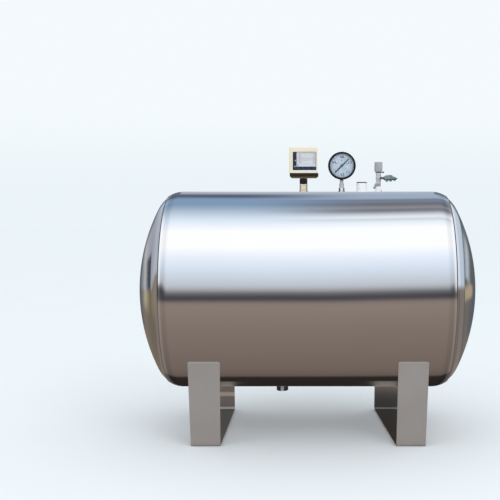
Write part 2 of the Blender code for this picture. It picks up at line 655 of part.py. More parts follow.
        cut(frame, rod(name, SPINDLE_RADIUS + RUN, long_drill, None, (GAUGE_X, gear_y, z), face_back, 12))
    for name, side in (("gauge_wing_hole_left", -1), ("gauge_wing_hole_right", 1)):
        cut(frame, rod(name, DIAL_SCREW_RADIUS + GAP, MOVEMENT_PLATE * 3, None,
                       (GAUGE_X + side * DIAL_SCREW_SPREAD / 2, front_plate_y, centre + DIAL_SCREW_RISE),
                       face_back, 12))

    # Pinion on the pointer's spindle, and the toothed sector that drives it.
    arbor = MOVEMENT_SPACE + MOVEMENT_PLATE * 2
    pinion = plate("gauge_pinion", gear_teeth(PINION_TEETH, PINION_TEETH, 0.0, 1.0), GEAR_WIDTH, BRASS,
                   (GAUGE_X, gear_y, centre))
    spindle_rear = rear_plate_y + MOVEMENT_PLATE / 2
    spindle_front = pointer_y + POINTER_THICKNESS / 2 + GAP
    join(pinion, rod("gauge_spindle", SPINDLE_RADIUS, spindle_rear - spindle_front, None,
                     (GAUGE_X, (spindle_rear + spindle_front) / 2, centre), face_back, 12))
    sector = plate("gauge_sector", sector_outline(), GEAR_WIDTH, BRASS, (GAUGE_X, gear_y, pivot))
    join(sector, rod("gauge_arbor", SPINDLE_RADIUS, arbor, None, (GAUGE_X, gear_y, pivot), face_back, 12))
    tail_x, tail_z = clock(SECTOR_TAIL, SECTOR_TAIL_ANGLE)
    cut(sector, rod("gauge_tail_hole", LINK_PIN_RADIUS + RUN, GEAR_WIDTH * 3, None,
                    (GAUGE_X + tail_x, gear_y, pivot + tail_z), face_back, 10))

    # Pointer: a thin tapered needle with a round hub, its tip at the zero mark.
    needle = plate("gauge_pointer", pointer_outline(dial_radius - POINTER_TIP_MARGIN, dial_radius - POINTER_TAIL_MARGIN),
                   POINTER_THICKNESS, BLACK, (GAUGE_X, pointer_y, centre))
    hub_y = pointer_y - POINTER_THICKNESS / 2 - POINTER_HUB_HEIGHT / 2
    join(needle, rod("gauge_hub", POINTER_HUB_RADIUS, POINTER_HUB_HEIGHT + POINTER_THICKNESS, None,
                     (GAUGE_X, hub_y + POINTER_THICKNESS / 2, centre), face_back, 16))

    make_bourdon(tube_radius, centre, gear_y, (GAUGE_X + tail_x, pivot + tail_z))


def tooth_flanks(teeth, addendum):
    """Half width of a tooth, as an angle, at radii from its root to its tip (20 degree involute)."""
    pitch = GEAR_MODULE * teeth / 2
    base = pitch * math.cos(math.radians(20))
    tip = pitch + GEAR_MODULE * addendum
    root = pitch - 1.2 * GEAR_MODULE
    half = math.pi / (2 * teeth) - GEAR_PLAY / pitch

    def involute(radius):
        angle = math.acos(min(1.0, base / radius))
        return math.tan(angle) - angle

    start = max(base, root)
    radii = [start + (tip - start) * i / 2 for i in range(3)]
    rows = [(radius, half + involute(pitch) - involute(radius)) for radius in radii]
    return rows if root >= base else [(root, rows[0][1])] + rows


def gear_teeth(full_teeth, teeth, first, addendum):
    """Outline of a run of teeth; `first` is the clock angle of the first one."""
    points = []
    flanks = tooth_flanks(full_teeth, addendum)
    for k in range(teeth):
        middle = first + 2 * math.pi * k / full_teeth
        points += [clock(radius, middle - half) for radius, half in flanks]
        points += [clock(radius, middle + half) for radius, half in reversed(flanks)]
    return points


def sector_outline():
    """A fan with teeth along its rim, narrowing to its pivot, and a tail on the other side for the link."""
    pitch_angle = 2 * math.pi / SECTOR_FULL_TEETH
    # At rest a gap between two teeth faces the pinion's lowest tooth, near the fan's left end.
    first = -1.5 * pitch_angle
    rim = gear_teeth(SECTOR_FULL_TEETH, SECTOR_TEETH, first, SECTOR_ADDENDUM)
    left = first - pitch_angle * 0.6
    right = first + pitch_angle * (SECTOR_TEETH - 0.4)
    root = GEAR_MODULE * SECTOR_FULL_TEETH / 2 - 1.2 * GEAR_MODULE
    hub = SPINDLE_RADIUS * 2.6
    eye = LINK_PIN_RADIUS * 3
    tail_x, tail_z = clock(SECTOR_TAIL, SECTOR_TAIL_ANGLE)
    points = [clock(root, left)] + rim + [clock(root, right)]
    points += [clock(hub, SECTOR_TAIL_ANGLE - math.radians(70))]
    around = [SECTOR_TAIL_ANGLE + math.radians(d) for d in (-90, -45, 0, 45, 90)]
    points += [(tail_x + eye * math.sin(a), tail_z + eye * math.cos(a)) for a in around]
    points += [clock(hub, SECTOR_TAIL_ANGLE + math.radians(70))]
    return points


def pointer_outline(tip, tail_end):
    """Needle outline: the tip towards the zero mark, the tail a slim bar on the other side."""
    tip_x, tip_z = clock(1.0, POINTER_ZERO)
    side = Vector((-tip_z, tip_x))
    along = Vector((tip_x, tip_z))

    def at(distance, half):
        return tuple(along * distance + side * half)

    ring = [at(POINTER_HUB_RADIUS * math.cos(a), POINTER_HUB_RADIUS * math.sin(a))
            for a in (math.radians(d) for d in range(30, 151, 30))]
    other = [at(POINTER_HUB_RADIUS * math.cos(a), POINTER_HUB_RADIUS * math.sin(a))
             for a in (math.radians(d) for d in range(210, 331, 30))]
    tail = [at(-tail_end, POINTER_TAIL_HALF), at(-tail_end, -POINTER_TAIL_HALF)]
    return [at(tip, POINTER_TIP_HALF)] + ring + tail + other + [at(tip, -POINTER_TIP_HALF)]


def make_bourdon(radius, centre, gear_y, tail):
    """C-shaped flattened tube from the stem's block round to its closed tip, and the link from the tip to the sector."""
    oval = bpy.data.curves.new("bourdon_section", "CURVE")
    oval.dimensions = "2D"
    ring = oval.splines.new("POLY")
    count = 8
    ring.points.add(count - 1)
    for i, point in enumerate(ring.points):
        a = 2 * math.pi * i / count
        point.co = (BOURDON_THICKNESS / 2 * math.cos(a), BOURDON_WIDTH / 2 * math.sin(a), 0.0, 1.0)
    ring.use_cyclic_u = True
    section = bpy.data.objects.new("bourdon_section", oval)
    section.hide_render = True
    CUTTERS.objects.link(section)

    data = bpy.data.curves.new("gauge_bourdon_tube", "CURVE")
    data.dimensions = "2D"
    data.bevel_mode = "OBJECT"
    data.bevel_object = section
    data.use_fill_caps = True
    steps = 20
    spline = data.splines.new("POLY")
    spline.points.add(steps)
    for i, point in enumerate(spline.points):
        x, z = clock(radius, BOURDON_START + BOURDON_ARC * i / steps)
        point.co = (x, z, 0.0, 1.0)
    tube = bpy.data.objects.new("gauge_bourdon_tube", data)
    tube.location = (GAUGE_X, 0.0, centre)
    tube.rotation_euler = (math.radians(90), 0, 0)
    tube = mesh_of_curve(keep(tube, BRASS))

    # Tip lug: reaches forward to the link, which lies just behind the sector's plane.
    link_y = gear_y + GEAR_WIDTH / 2 + GAP + LINK_THICKNESS / 2
    lug_front = link_y + LINK_THICKNESS / 2 + GAP
    tip_x, tip_z = clock(radius, BOURDON_START + BOURDON_ARC - TIP_LUG_RADIUS * 1.6 / radius)
    join(tube, rod("bourdon_lug", TIP_LUG_RADIUS, -lug_front, None, (GAUGE_X + tip_x, lug_front / 2, centre + tip_z),
                   (math.radians(90), 0, 0), 12))
    far = Vector((GAUGE_X + tip_x, centre + tip_z))
    near = Vector(tail)
    along = (far - near).normalized()
    across = Vector((-along.y, along.x)) * LINK_WIDTH / 2
    outline = [near - along * LINK_WIDTH / 2 - across * 0.5, near - along * LINK_WIDTH / 2 + across * 0.5,
               near + across, far + across, far + along * LINK_WIDTH / 2 + across * 0.5,
               far + along * LINK_WIDTH / 2 - across * 0.5, far - across, near - across]
    link = plate("gauge_link", [tuple(point - near) for point in outline], LINK_THICKNESS, BRASS,
                 (near.x, link_y, near.y))
    pin = GEAR_WIDTH + GAP + LINK_THICKNESS / 2
    join(link, rod("gauge_link_pin", LINK_PIN_RADIUS, pin, None, (near.x, link_y - pin / 2, near.y),
                   (math.radians(90), 0, 0), 10))


def make_switch():
    """Pressure switch: socket, nut, base, bellows, arm, range spring and contacts under a windowed cover."""
    socket_top = TOP_Z + SWITCH_SOCKET_HEIGHT
    nut_low = socket_top + GAP
    nut_top = nut_low + SWITCH_NUT_HEIGHT
    base_low = nut_top + GAP
    base_top = base_low + SWITCH_BASE_HEIGHT
    cover_low = base_top + GAP
    socket("switch_socket", SWITCH_X, SWITCH_SOCKET_RADIUS, SWITCH_SOCKET_BORE, SWITCH_SOCKET_HEIGHT, BRASS,
           chamfer=0.0008)

    # The nut: hexagon with a threaded tail in the socket and a tube up to the bellows.
    nut = hexagon("switch_nut", SWITCH_NUT_FLATS, SWITCH_NUT_HEIGHT, DARK, (SWITCH_X, 0, (nut_low + nut_top) / 2),
                  SWITCH_NUT_EDGE)
    tail = rod("switch_nut_tail", SWITCH_SOCKET_BORE - GAP, SWITCH_NUT_TAIL + OVERLAP * 2, None,
               (SWITCH_X, 0, nut_low - SWITCH_NUT_TAIL / 2 + OVERLAP))
    throat = rod("switch_nut_throat", SWITCH_SOCKET_BORE - GAP, SWITCH_FLOOR + GAP + OVERLAP * 2, None,
                 (SWITCH_X, 0, nut_top + (SWITCH_FLOOR + GAP) / 2 - OVERLAP))
    join(nut, tail, throat)
    cut(nut, hole("switch_water_way", SWITCH_X, SWITCH_NUT_BORE, nut_low - SWITCH_NUT_TAIL - OVERLAP, base_top,
                  sides=16))

    # Base: a cast plate with bevelled lower edges and a round pocket for the bellows.
    base = block("switch_base", (SWITCH_BASE_WIDTH, SWITCH_BASE_DEPTH, SWITCH_BASE_HEIGHT), DARK,
                 (SWITCH_X + SWITCH_BASE_OFFSET, 0, (base_low + base_top) / 2), SWITCH_BASE_BEVEL, 2)
    pocket = BELLOWS_RADIUS + BELLOWS_FOLD_DEPTH + GAP * 2
    cut(base, hole("switch_pocket", SWITCH_X, pocket, base_low + SWITCH_FLOOR, base_top + OVERLAP),
        hole("switch_throat_hole", SWITCH_X, SWITCH_SOCKET_BORE, base_low - OVERLAP, base_top, sides=20))

    # Bellows with its thrust pin.
    foot = base_low + SWITCH_FLOOR + GAP * 2
    outer = []
    for i in range(BELLOWS_FOLDS):
        z = BELLOWS_FOLD_HEIGHT * i
        outer += [(BELLOWS_RADIUS, z), (BELLOWS_RADIUS + BELLOWS_FOLD_DEPTH, z + BELLOWS_FOLD_HEIGHT / 2)]
    height = BELLOWS_FOLD_HEIGHT * BELLOWS_FOLDS
    outer += [(BELLOWS_RADIUS, height)]
    profile = [(0.0, height + THRUST_PIN_HEIGHT), (THRUST_PIN_RADIUS, height + THRUST_PIN_HEIGHT),
               (THRUST_PIN_RADIUS, height)] + outer[::-1] + [(0.0, 0.0)]
    turned("switch_bellows", profile, BRASS, (SWITCH_X, 0, foot), steps=18)
    pin_top = foot + height + THRUST_PIN_HEIGHT

    # Chassis: foot plate on the base, upright behind and a top flange that holds the range screw.
    chassis_low = base_top + GAP
    chassis_front = COVER_WALL + CHASSIS_INSET - COVER_DEPTH / 2
    chassis = block("switch_chassis", (CHASSIS_WIDTH, CHASSIS_REAR - chassis_front, CHASSIS_SHEET), ZINC,
                    (SWITCH_X, (CHASSIS_REAR + chassis_front) / 2, chassis_low + CHASSIS_SHEET / 2))
    upright = block("switch_upright", (CHASSIS_WIDTH, CHASSIS_SHEET, CHASSIS_HEIGHT), None,
                    (SWITCH_X, CHASSIS_REAR - CHASSIS_SHEET / 2, chassis_low + CHASSIS_HEIGHT / 2))
    flange_z = chassis_low + CHASSIS_HEIGHT - CHASSIS_SHEET / 2
    flange = block("switch_flange", (CHASSIS_WIDTH, CHASSIS_TOP_DEPTH, CHASSIS_SHEET), None,
                   (SWITCH_X, CHASSIS_REAR - CHASSIS_TOP_DEPTH / 2, flange_z))
    join(chassis, upright, flange)
    arm_low = pin_top + GAP
    arm_z = arm_low + ARM_THICKNESS / 2
    ear_y = ARM_WIDTH / 2 + GAP + ARM_EAR / 2
    for name, side in (("switch_ear_front", -1), ("switch_ear_rear", 1)):
        tall = arm_z + ARM_PIN_RADIUS * 2.2 - chassis_low
        join(chassis, block(name, (ARM_PIN_RADIUS * 4.4, ARM_EAR, tall), None,
                            (SWITCH_X - ARM_PIVOT, side * ear_y, chassis_low + tall / 2)))
    cut(chassis, hole("switch_chassis_hole", SWITCH_X, pocket, chassis_low - OVERLAP,
                      chassis_low + CHASSIS_SHEET + OVERLAP * 2),
        rod("switch_pin_hole", ARM_PIN_RADIUS + RUN, ear_y * 4, None, (SWITCH_X - ARM_PIVOT, 0, arm_z),
            (math.radians(90), 0, 0), 12),
        hole("switch_screw_hole", SWITCH_X + SPRING_X, RANGE_SCREW_RADIUS + GAP, flange_z - CHASSIS_SHEET * 2,
             flange_z + CHASSIS_SHEET * 2, sides=12))

    # Arm that the bellows lift, with its pin through the chassis' ears.
    arm_pivot = (SWITCH_X - ARM_PIVOT, 0, arm_z)
    arm = rod("switch_arm", ARM_PIN_RADIUS * 1.9, ARM_WIDTH, ZINC, arm_pivot, (math.radians(90), 0, 0), 16)
    bar = block("switch_arm_bar", (ARM_PIVOT + ARM_REACH, ARM_WIDTH, ARM_THICKNESS), None,
                (SWITCH_X + (ARM_REACH - ARM_PIVOT) / 2, 0, arm_z))
    pin = rod("switch_arm_pin", ARM_PIN_RADIUS, (ear_y + ARM_EAR / 2) * 2 + OVERLAP, None, arm_pivot,
              (math.radians(90), 0, 0), 12)
    join(arm, bar, pin)

    # Range spring on the arm, and the screw whose seat presses it.
    spring_low = arm_z + ARM_THICKNESS / 2 + GAP
    wire("switch_spring", helix(RANGE_SPRING_RADIUS, RANGE_WIRE_RADIUS, RANGE_SPRING_LENGTH, RANGE_SPRING_TURNS),
         RANGE_WIRE_RADIUS, CHROME, (SWITCH_X + SPRING_X, 0, spring_low))
    seat_low = spring_low + RANGE_SPRING_LENGTH + GAP
    head_low = flange_z + CHASSIS_SHEET / 2 + GAP
    screw_foot = seat_low - RANGE_SCREW_TAIL
    profile = [
        (0.0, head_low + RANGE_SCREW_HEAD_HEIGHT), (RANGE_SCREW_HEAD_RADIUS, head_low + RANGE_SCREW_HEAD_HEIGHT),
        (RANGE_SCREW_HEAD_RADIUS, head_low), (RANGE_SCREW_RADIUS, head_low),
        (RANGE_SCREW_RADIUS, seat_low + RANGE_SEAT_THICKNESS), (RANGE_SEAT_RADIUS, seat_low + RANGE_SEAT_THICKNESS),
        (RANGE_SEAT_RADIUS, seat_low), (RANGE_SCREW_RADIUS, seat_low), (RANGE_SCREW_RADIUS, screw_foot),
        (0.0, screw_foot),
    ]
    screw = turned("switch_range_screw", profile, CHROME, (SWITCH_X + SPRING_X, 0, 0), steps=14)
    cut(screw, block("switch_screw_slot", (RANGE_SCREW_HEAD_RADIUS * 3, RANGE_SLOT_WIDTH, RANGE_SLOT_DEPTH * 2), None,
                     (SWITCH_X + SPRING_X, 0, head_low + RANGE_SCREW_HEAD_HEIGHT)))

    # Contact block on the upright, with the plunger that the arm presses.
    travel = (ARM_PIVOT + CONTACT_X + CONTACT_WIDTH / 2) * math.sin(ARM_TILT)
    plunger_low = arm_z + ARM_THICKNESS / 2 + travel + GAP
    contact_low = plunger_low + PLUNGER_HEIGHT
    contact_y = CHASSIS_REAR - CHASSIS_SHEET - GAP - CONTACT_DEPTH / 2
    contacts = block("switch_contacts", (CONTACT_WIDTH, CONTACT_DEPTH, CONTACT_HEIGHT), BLACK,
                     (SWITCH_X + CONTACT_X, contact_y, contact_low + CONTACT_HEIGHT / 2), CONTACT_EDGE, 1)
    plunger_y = contact_y - CONTACT_DEPTH / 2 + PLUNGER_RADIUS * 1.5
    join(contacts, rod("switch_plunger", PLUNGER_RADIUS, PLUNGER_HEIGHT + OVERLAP, None,
                       (SWITCH_X + CONTACT_X, plunger_y, plunger_low + (PLUNGER_HEIGHT + OVERLAP) / 2), sides=12))

    # Cover with its window, and the panel and scale plate behind the window.
    # The rounded block is made taller than the cover and cut off square at the foot, which is open.
    spare = COVER_CORNER * 2
    cover = block("switch_cover", (COVER_WIDTH, COVER_DEPTH, COVER_HEIGHT + spare), CREAM,
                  (SWITCH_X + COVER_OFFSET, 0, cover_low + (COVER_HEIGHT - spare) / 2), COVER_CORNER, 3)
    foot_cut = block("switch_cover_foot", (COVER_WIDTH * 2, COVER_DEPTH * 2, spare * 2), None,
                     (SWITCH_X, 0, cover_low - spare))
    hollow = block("switch_cover_hollow", (COVER_WIDTH - COVER_WALL * 2, COVER_DEPTH - COVER_WALL * 2,
                                           COVER_HEIGHT + spare),
                   None, (SWITCH_X + COVER_OFFSET, 0, cover_low + (COVER_HEIGHT - spare) / 2 - COVER_WALL))
    window_z = cover_low + WINDOW_FOOT + WINDOW_HEIGHT / 2
    window_x = SWITCH_X + (WINDOW_RIGHT - WINDOW_LEFT) / 2
    window_width = WINDOW_LEFT + WINDOW_RIGHT
    front = -COVER_DEPTH / 2
    opening = block("switch_window_opening", (window_width, COVER_WALL * 4, WINDOW_HEIGHT), None,
                    (window_x, front, window_z))
    cut(cover, foot_cut, hollow, opening)
    block("switch_window", (window_width - GAP * 2, COVER_WALL, WINDOW_HEIGHT - GAP * 2), CLEAR,
          (window_x, front + COVER_WALL / 2, window_z))
    panel_y = front + COVER_WALL + PANEL_SETBACK + SCALE_THICKNESS + GAP + PANEL_THICKNESS / 2
    panel_low = chassis_low + CHASSIS_SHEET + GAP
    panel_high = window_z + WINDOW_HEIGHT / 2 + PANEL_REACH
    block("switch_panel", (window_width + PANEL_MARGIN * 2, PANEL_THICKNESS, panel_high - panel_low), NAVY,
          (window_x, panel_y, (panel_low + panel_high) / 2))
    scale_width = window_width - SCALE_LEFT
    scale_height = WINDOW_HEIGHT - SCALE_FOOT
    block("switch_scale_plate", (scale_width, SCALE_THICKNESS, scale_height), ALLOY,
          (window_x + SCALE_LEFT / 2, panel_y - PANEL_THICKNESS / 2 - GAP - SCALE_THICKNESS / 2,
           window_z + SCALE_FOOT / 2))


def helix(radius, wire_radius, length, turns):
    """Points of a coil that fills `length`, its two end turns lying flat."""
    points = []
    per_turn = 8
    rise = length - wire_radius * 2
    for i in range(turns * per_turn + 1):
        turn = i / per_turn
        share = min(max((turn - 0.5) / (turns - 1.0), 0.0), 1.0)
        angle = 2 * math.pi * turn
        points.append((radius * math.cos(angle), radius * math.sin(angle), wire_radius + rise * share))
    return points


def make_relief():
    """Relief valve: nipple, body with a slanted spout, sprung disc, test lever, lock ring and cap."""
    body_low = TOP_Z + NIPPLE_HEIGHT + GAP
    tenon_top = TOP_Z + NIPPLE_HEIGHT + NIPPLE_TENON_HEIGHT
    deep = NIPPLE_FOOT_RADIUS ** 2 / TANK_RADIUS + GAP * 2
    profile = [
        (NIPPLE_TENON_RADIUS, NIPPLE_HEIGHT + NIPPLE_TENON_HEIGHT), (NIPPLE_TENON_RADIUS, NIPPLE_HEIGHT),
        (NIPPLE_RADIUS - NIPPLE_CHAMFER, NIPPLE_HEIGHT), (NIPPLE_RADIUS, NIPPLE_HEIGHT - NIPPLE_CHAMFER_HEIGHT),
        (NIPPLE_FOOT_RADIUS, -deep), (NIPPLE_BORE, -deep),
        (NIPPLE_BORE, NIPPLE_HEIGHT + NIPPLE_TENON_HEIGHT),
    ]
    cut(turned("relief_nipple", profile, STEEL, (RELIEF_X, 0, TOP_Z), steps=20, ring=True), SKIN)

    # Body: barrel, waist, rounded chest and neck; bored for the disc above its seat and for the nipple below.
    seat = body_low + BODY_SEAT_Z
    body_top = body_low + BODY_HEIGHT
    chest = body_low + BODY_HEIGHT * 0.62
    outside = [
        (0.0, BODY_HEIGHT), (BODY_NECK_RADIUS, BODY_HEIGHT), (BODY_NECK_RADIUS, BODY_HEIGHT * 0.78),
        (BODY_RADIUS * 0.93, BODY_HEIGHT * 0.76), (BODY_RADIUS, BODY_HEIGHT * 0.68), (BODY_RADIUS, BODY_HEIGHT * 0.58),
        (BODY_RADIUS * 0.93, BODY_HEIGHT * 0.50), (BODY_WAIST_RADIUS, BODY_HEIGHT * 0.42),
        (BODY_WAIST_RADIUS, 0.0), (0.0, 0.0),
    ]
    body = turned("relief_body", outside, CHROME, (RELIEF_X, 0, body_low), steps=20)
    spout_way = Vector((-math.sin(SPOUT_ANGLE), 0, -math.cos(SPOUT_ANGLE)))
    spout_turn = (0, math.pi + SPOUT_ANGLE, 0)
    spout_from = Vector((RELIEF_X, 0, body_low + SPOUT_RISE))
    spout_mid = spout_from + spout_way * SPOUT_LENGTH / 2
    join(body, rod("relief_spout", SPOUT_ROOT_RADIUS, SPOUT_LENGTH, None, spout_mid, spout_turn, 16,
                   SPOUT_MOUTH_RADIUS))

    # Ears for the lever's pin, and the window that its finger goes through.
    pivot = (RELIEF_X + LEVER_PIVOT_X, 0.0, chest)
    for name, side in (("relief_ear_front", -1), ("relief_ear_rear", 1)):
        y = side * (LEVER_THICKNESS / 2 + GAP + EAR_THICKNESS / 2)
        join(body, rod(name, EAR_RADIUS, EAR_THICKNESS, None, (pivot[0], y, chest), (math.radians(90), 0, 0), 16),
             block(name + "_web", (LEVER_PIVOT_X - BODY_BORE, EAR_THICKNESS, EAR_RADIUS * 1.8), None,
                   (RELIEF_X + (LEVER_PIVOT_X + BODY_BORE) / 2, y, chest)))
    reach = LEVER_PIVOT_X - LEVER_FINGER_END
    lift = reach * math.sin(LEVER_TRAVEL)
    window_high = LEVER_FINGER_THICKNESS + lift + WINDOW_PLAY * 2
    bores = (
        rod("relief_chamber", BODY_BORE, body_top - seat + OVERLAP * 2, None,
            (RELIEF_X, 0, (seat + body_top) / 2 + OVERLAP), sides=16),
        rod("relief_seat_bore", BODY_SEAT_BORE, BODY_HEIGHT * 0.8, None, (RELIEF_X, 0, seat), sides=12),
        rod("relief_socket_bore", NIPPLE_TENON_RADIUS + GAP, NIPPLE_TENON_HEIGHT * 2, None,
            (RELIEF_X, 0, body_low + GAP * 2), sides=16),
        rod("relief_spout_bore", SPOUT_BORE, SPOUT_LENGTH * 1.1, None,
            spout_from + spout_way * SPOUT_LENGTH * 0.75, spout_turn, 10),
        rod("relief_pin_holes", PIN_RADIUS + GAP, LEVER_THICKNESS * 4, None, pivot, (math.radians(90), 0, 0), 12),
        block("relief_window", (LEVER_PIVOT_X, LEVER_FINGER_WIDTH + WINDOW_PLAY * 2, window_high), None,
              (RELIEF_X + LEVER_PIVOT_X * 0.7, 0, chest + lift / 2)),
        block("relief_lever_space", (LEVER_HUB_RADIUS * 2 + WINDOW_PLAY, LEVER_THICKNESS + GAP * 2, LEVER_HEIGHT * 1.2),
              None, (pivot[0] + WINDOW_PLAY / 2, 0, chest)),
    )
    cut(body, *bores)

    rod("relief_lever_pin", PIN_RADIUS, LEVER_THICKNESS + (GAP + EAR_THICKNESS) * 2 + OVERLAP, CHROME, pivot,
        (math.radians(90), 0, 0), 12)
    lever = plate("relief_lever", lever_outline(), LEVER_THICKNESS, GREEN, pivot)
    join(lever, block("relief_finger", (reach, LEVER_FINGER_WIDTH, LEVER_FINGER_THICKNESS), None,
                      (pivot[0] - reach / 2, 0, chest)))
    cut(lever, rod("relief_hub_hole", PIN_RADIUS + RUN, LEVER_THICKNESS * 2, None, pivot, (math.radians(90), 0, 0), 12))

    # Spindle: the disc on its seat, a collar above the finger, and the stem's end inside the cap.
    collar = chest + LEVER_FINGER_THICKNESS / 2 + GAP
    stem_top = collar + STEM_COLLAR_THICKNESS + STEM_RISE
    disc_low = seat + GAP
    profile = [
        (0.0, stem_top), (VALVE_STEM_RADIUS, stem_top), (VALVE_STEM_RADIUS, collar + STEM_COLLAR_THICKNESS),
        (STEM_COLLAR_RADIUS, collar + STEM_COLLAR_THICKNESS), (STEM_COLLAR_RADIUS, collar),
        (VALVE_STEM_RADIUS, collar), (VALVE_STEM_RADIUS, disc_low + DISC_THICKNESS),
        (DISC_RADIUS, disc_low + DISC_THICKNESS), (DISC_RADIUS, disc_low), (0.0, disc_low),
    ]
    turned("relief_spindle", profile, BRASS, (RELIEF_X, 0, 0), steps=16)

    # Lock ring and its screw, then the cap, which closes the spring chamber.
    ring_low = body_top + GAP
    ring_top = ring_low + LOCK_RING_THICKNESS
    ring = [
        (BODY_BORE, LOCK_RING_THICKNESS), (LOCK_RING_RADIUS - LOCK_EDGE, LOCK_RING_THICKNESS),
        (LOCK_RING_RADIUS, LOCK_RING_THICKNESS - LOCK_EDGE), (LOCK_RING_RADIUS, LOCK_EDGE),
        (LOCK_RING_RADIUS - LOCK_EDGE, 0.0), (BODY_BORE, 0.0),
    ]
    locked = turned("relief_lock_ring", ring, DARK, (RELIEF_X, 0, ring_low), steps=20, ring=True)
    screw_z = (ring_low + ring_top) / 2
    screw_from = RELIEF_X + LOCK_RING_RADIUS - LOCK_SCREW_DEPTH
    along_x = (0, math.radians(90), 0)
    lock = rod("relief_lock_screw", LOCK_SCREW_RADIUS, LOCK_SCREW_LENGTH, DARK,
               (screw_from + LOCK_SCREW_LENGTH / 2, 0, screw_z), along_x, 12)
    join(lock, rod("relief_lock_knob", LOCK_KNOB_RADIUS, LOCK_KNOB_LENGTH, None,
                   (screw_from + LOCK_SCREW_LENGTH + LOCK_KNOB_LENGTH / 2 - LOCK_EDGE, 0, screw_z), along_x, 16,
                   bevel=LOCK_KNOB_EDGE))
    cut(locked, rod("relief_lock_hole", LOCK_SCREW_RADIUS + GAP, LOCK_SCREW_LENGTH, None,
                    (screw_from + LOCK_SCREW_LENGTH / 2 - GAP, 0, screw_z), along_x, 12))

    cap_low = ring_top + GAP
    cap = [
        (0.0, CAP_HEIGHT), (CAP_RADIUS - CAP_EDGE, CAP_HEIGHT), (CAP_RADIUS, CAP_HEIGHT - CAP_EDGE),
        (CAP_RADIUS, CAP_EDGE / 2), (CAP_RADIUS - CAP_EDGE / 2, 0.0), (BODY_BORE, 0.0),
        (BODY_BORE, CAP_HEIGHT - CAP_WALL), (0.0, CAP_HEIGHT - CAP_WALL),
    ]
    turned("relief_cap", cap, GREY, (RELIEF_X, 0, cap_low), steps=24)
    spring_low = collar + STEM_COLLAR_THICKNESS + GAP
    spring_top = cap_low + CAP_HEIGHT - CAP_WALL - GAP
    wire("relief_spring", helix(RELIEF_SPRING_RADIUS, RELIEF_WIRE_RADIUS, spring_top - spring_low, RELIEF_SPRING_TURNS),
         RELIEF_WIRE_RADIUS, CHROME, (RELIEF_X, 0, spring_low))


def lever_outline():
    """Leaf-shaped lever: smooth upper edge, three finger teeth below and a pointed end, round the pivot on its left."""
    edge = [(x * LEVER_LENGTH, z * LEVER_HEIGHT) for x, z in LEVER_UPPER + LEVER_LOWER]
    return edge + arc(0.0, 0.0, LEVER_HUB_RADIUS, -math.radians(110), -math.radians(250), 6)


def main():
    for obj in list(bpy.data.objects):
        bpy.data.objects.remove(obj)
    global PIECES, CUTTERS, SKIN
    global STEEL, PLATE, CHROME, BRASS, BLACK, DARK, ZINC, ALLOY, GREY, CREAM, NAVY, GREEN, GLASS, CLEAR, DIAL
    PIECES = collection("well_pressure_tank")
    CUTTERS = collection("cutters")
    STEEL = material("polished_steel", (0.72, 0.73, 0.75), 0.12, 1.0)
    PLATE = material("support_steel", (0.42, 0.40, 0.39), 0.45, 1.0)
    CHROME = material("plated_metal", (0.78, 0.78, 0.80), 0.15, 1.0)
    BRASS = material("brass", (0.80, 0.66, 0.42), 0.30, 1.0)
    BLACK = material("black_paint", (0.02, 0.025, 0.04), 0.35, 0.0)
    DARK = material("dark_metal", (0.07, 0.05, 0.035), 0.45, 0.4)
    ZINC = material("zinc_plate", (0.62, 0.63, 0.64), 0.35, 1.0)
    ALLOY = material("scale_alloy", (0.60, 0.60, 0.66), 0.40, 0.6)
    GREY = material("grey_plastic", (0.42, 0.43, 0.44), 0.45, 0.0)
    CREAM = material("cream_plastic", (0.86, 0.78, 0.60), 0.35, 0.0)
    NAVY = material("navy_panel", (0.03, 0.04, 0.14), 0.40, 0.0)
    GREEN = material("green_coating", (0.20, 0.32, 0.27), 0.45, 0.0)
    GLASS = material("gauge_glass", (0.85, 0.92, 1.0), 0.05, 0.0, 0.25)
    CLEAR = material("clear_plastic", (0.90, 0.92, 0.95), 0.08, 0.0, 0.25)
    DIAL = material("dial_paint", (0.60, 0.70, 0.80), 0.45, 0.0)
    SKIN = tank_skin("tank_skin", TANK_RADIUS + GAP)
    make_shell()
    make_head("head_right", 1)
    make_head("head_left", -1)
    make_support("support_left", -1, REAR_SHIFT_LEFT)
    make_support("support_right", 1, REAR_SHIFT_RIGHT)
    socket("drain_socket", DRAIN_X, DRAIN_OUTER_RADIUS, DRAIN_BORE_RADIUS, DRAIN_HEIGHT, STEEL, up=False)
    socket("spare_socket", SPARE_X, SPARE_OUTER_RADIUS, SPARE_BORE_RADIUS, SPARE_HEIGHT, STEEL)
    make_gauge()
    make_switch()
    make_relief()


main()
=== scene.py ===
"""Looks of the well pressure tank: polished vessel, folded supports, switch, gauge, sockets, relief valve.

New pieces are surfaces worked out with numpy. A shape is a pair (points, faces); piece() joins shapes into
one object. Metres, +Z up, the vessel's axis along X, the front towards -Y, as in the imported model.
"""
import math

import bmesh
import bpy
import numpy as np
from mathutils import Matrix, Vector


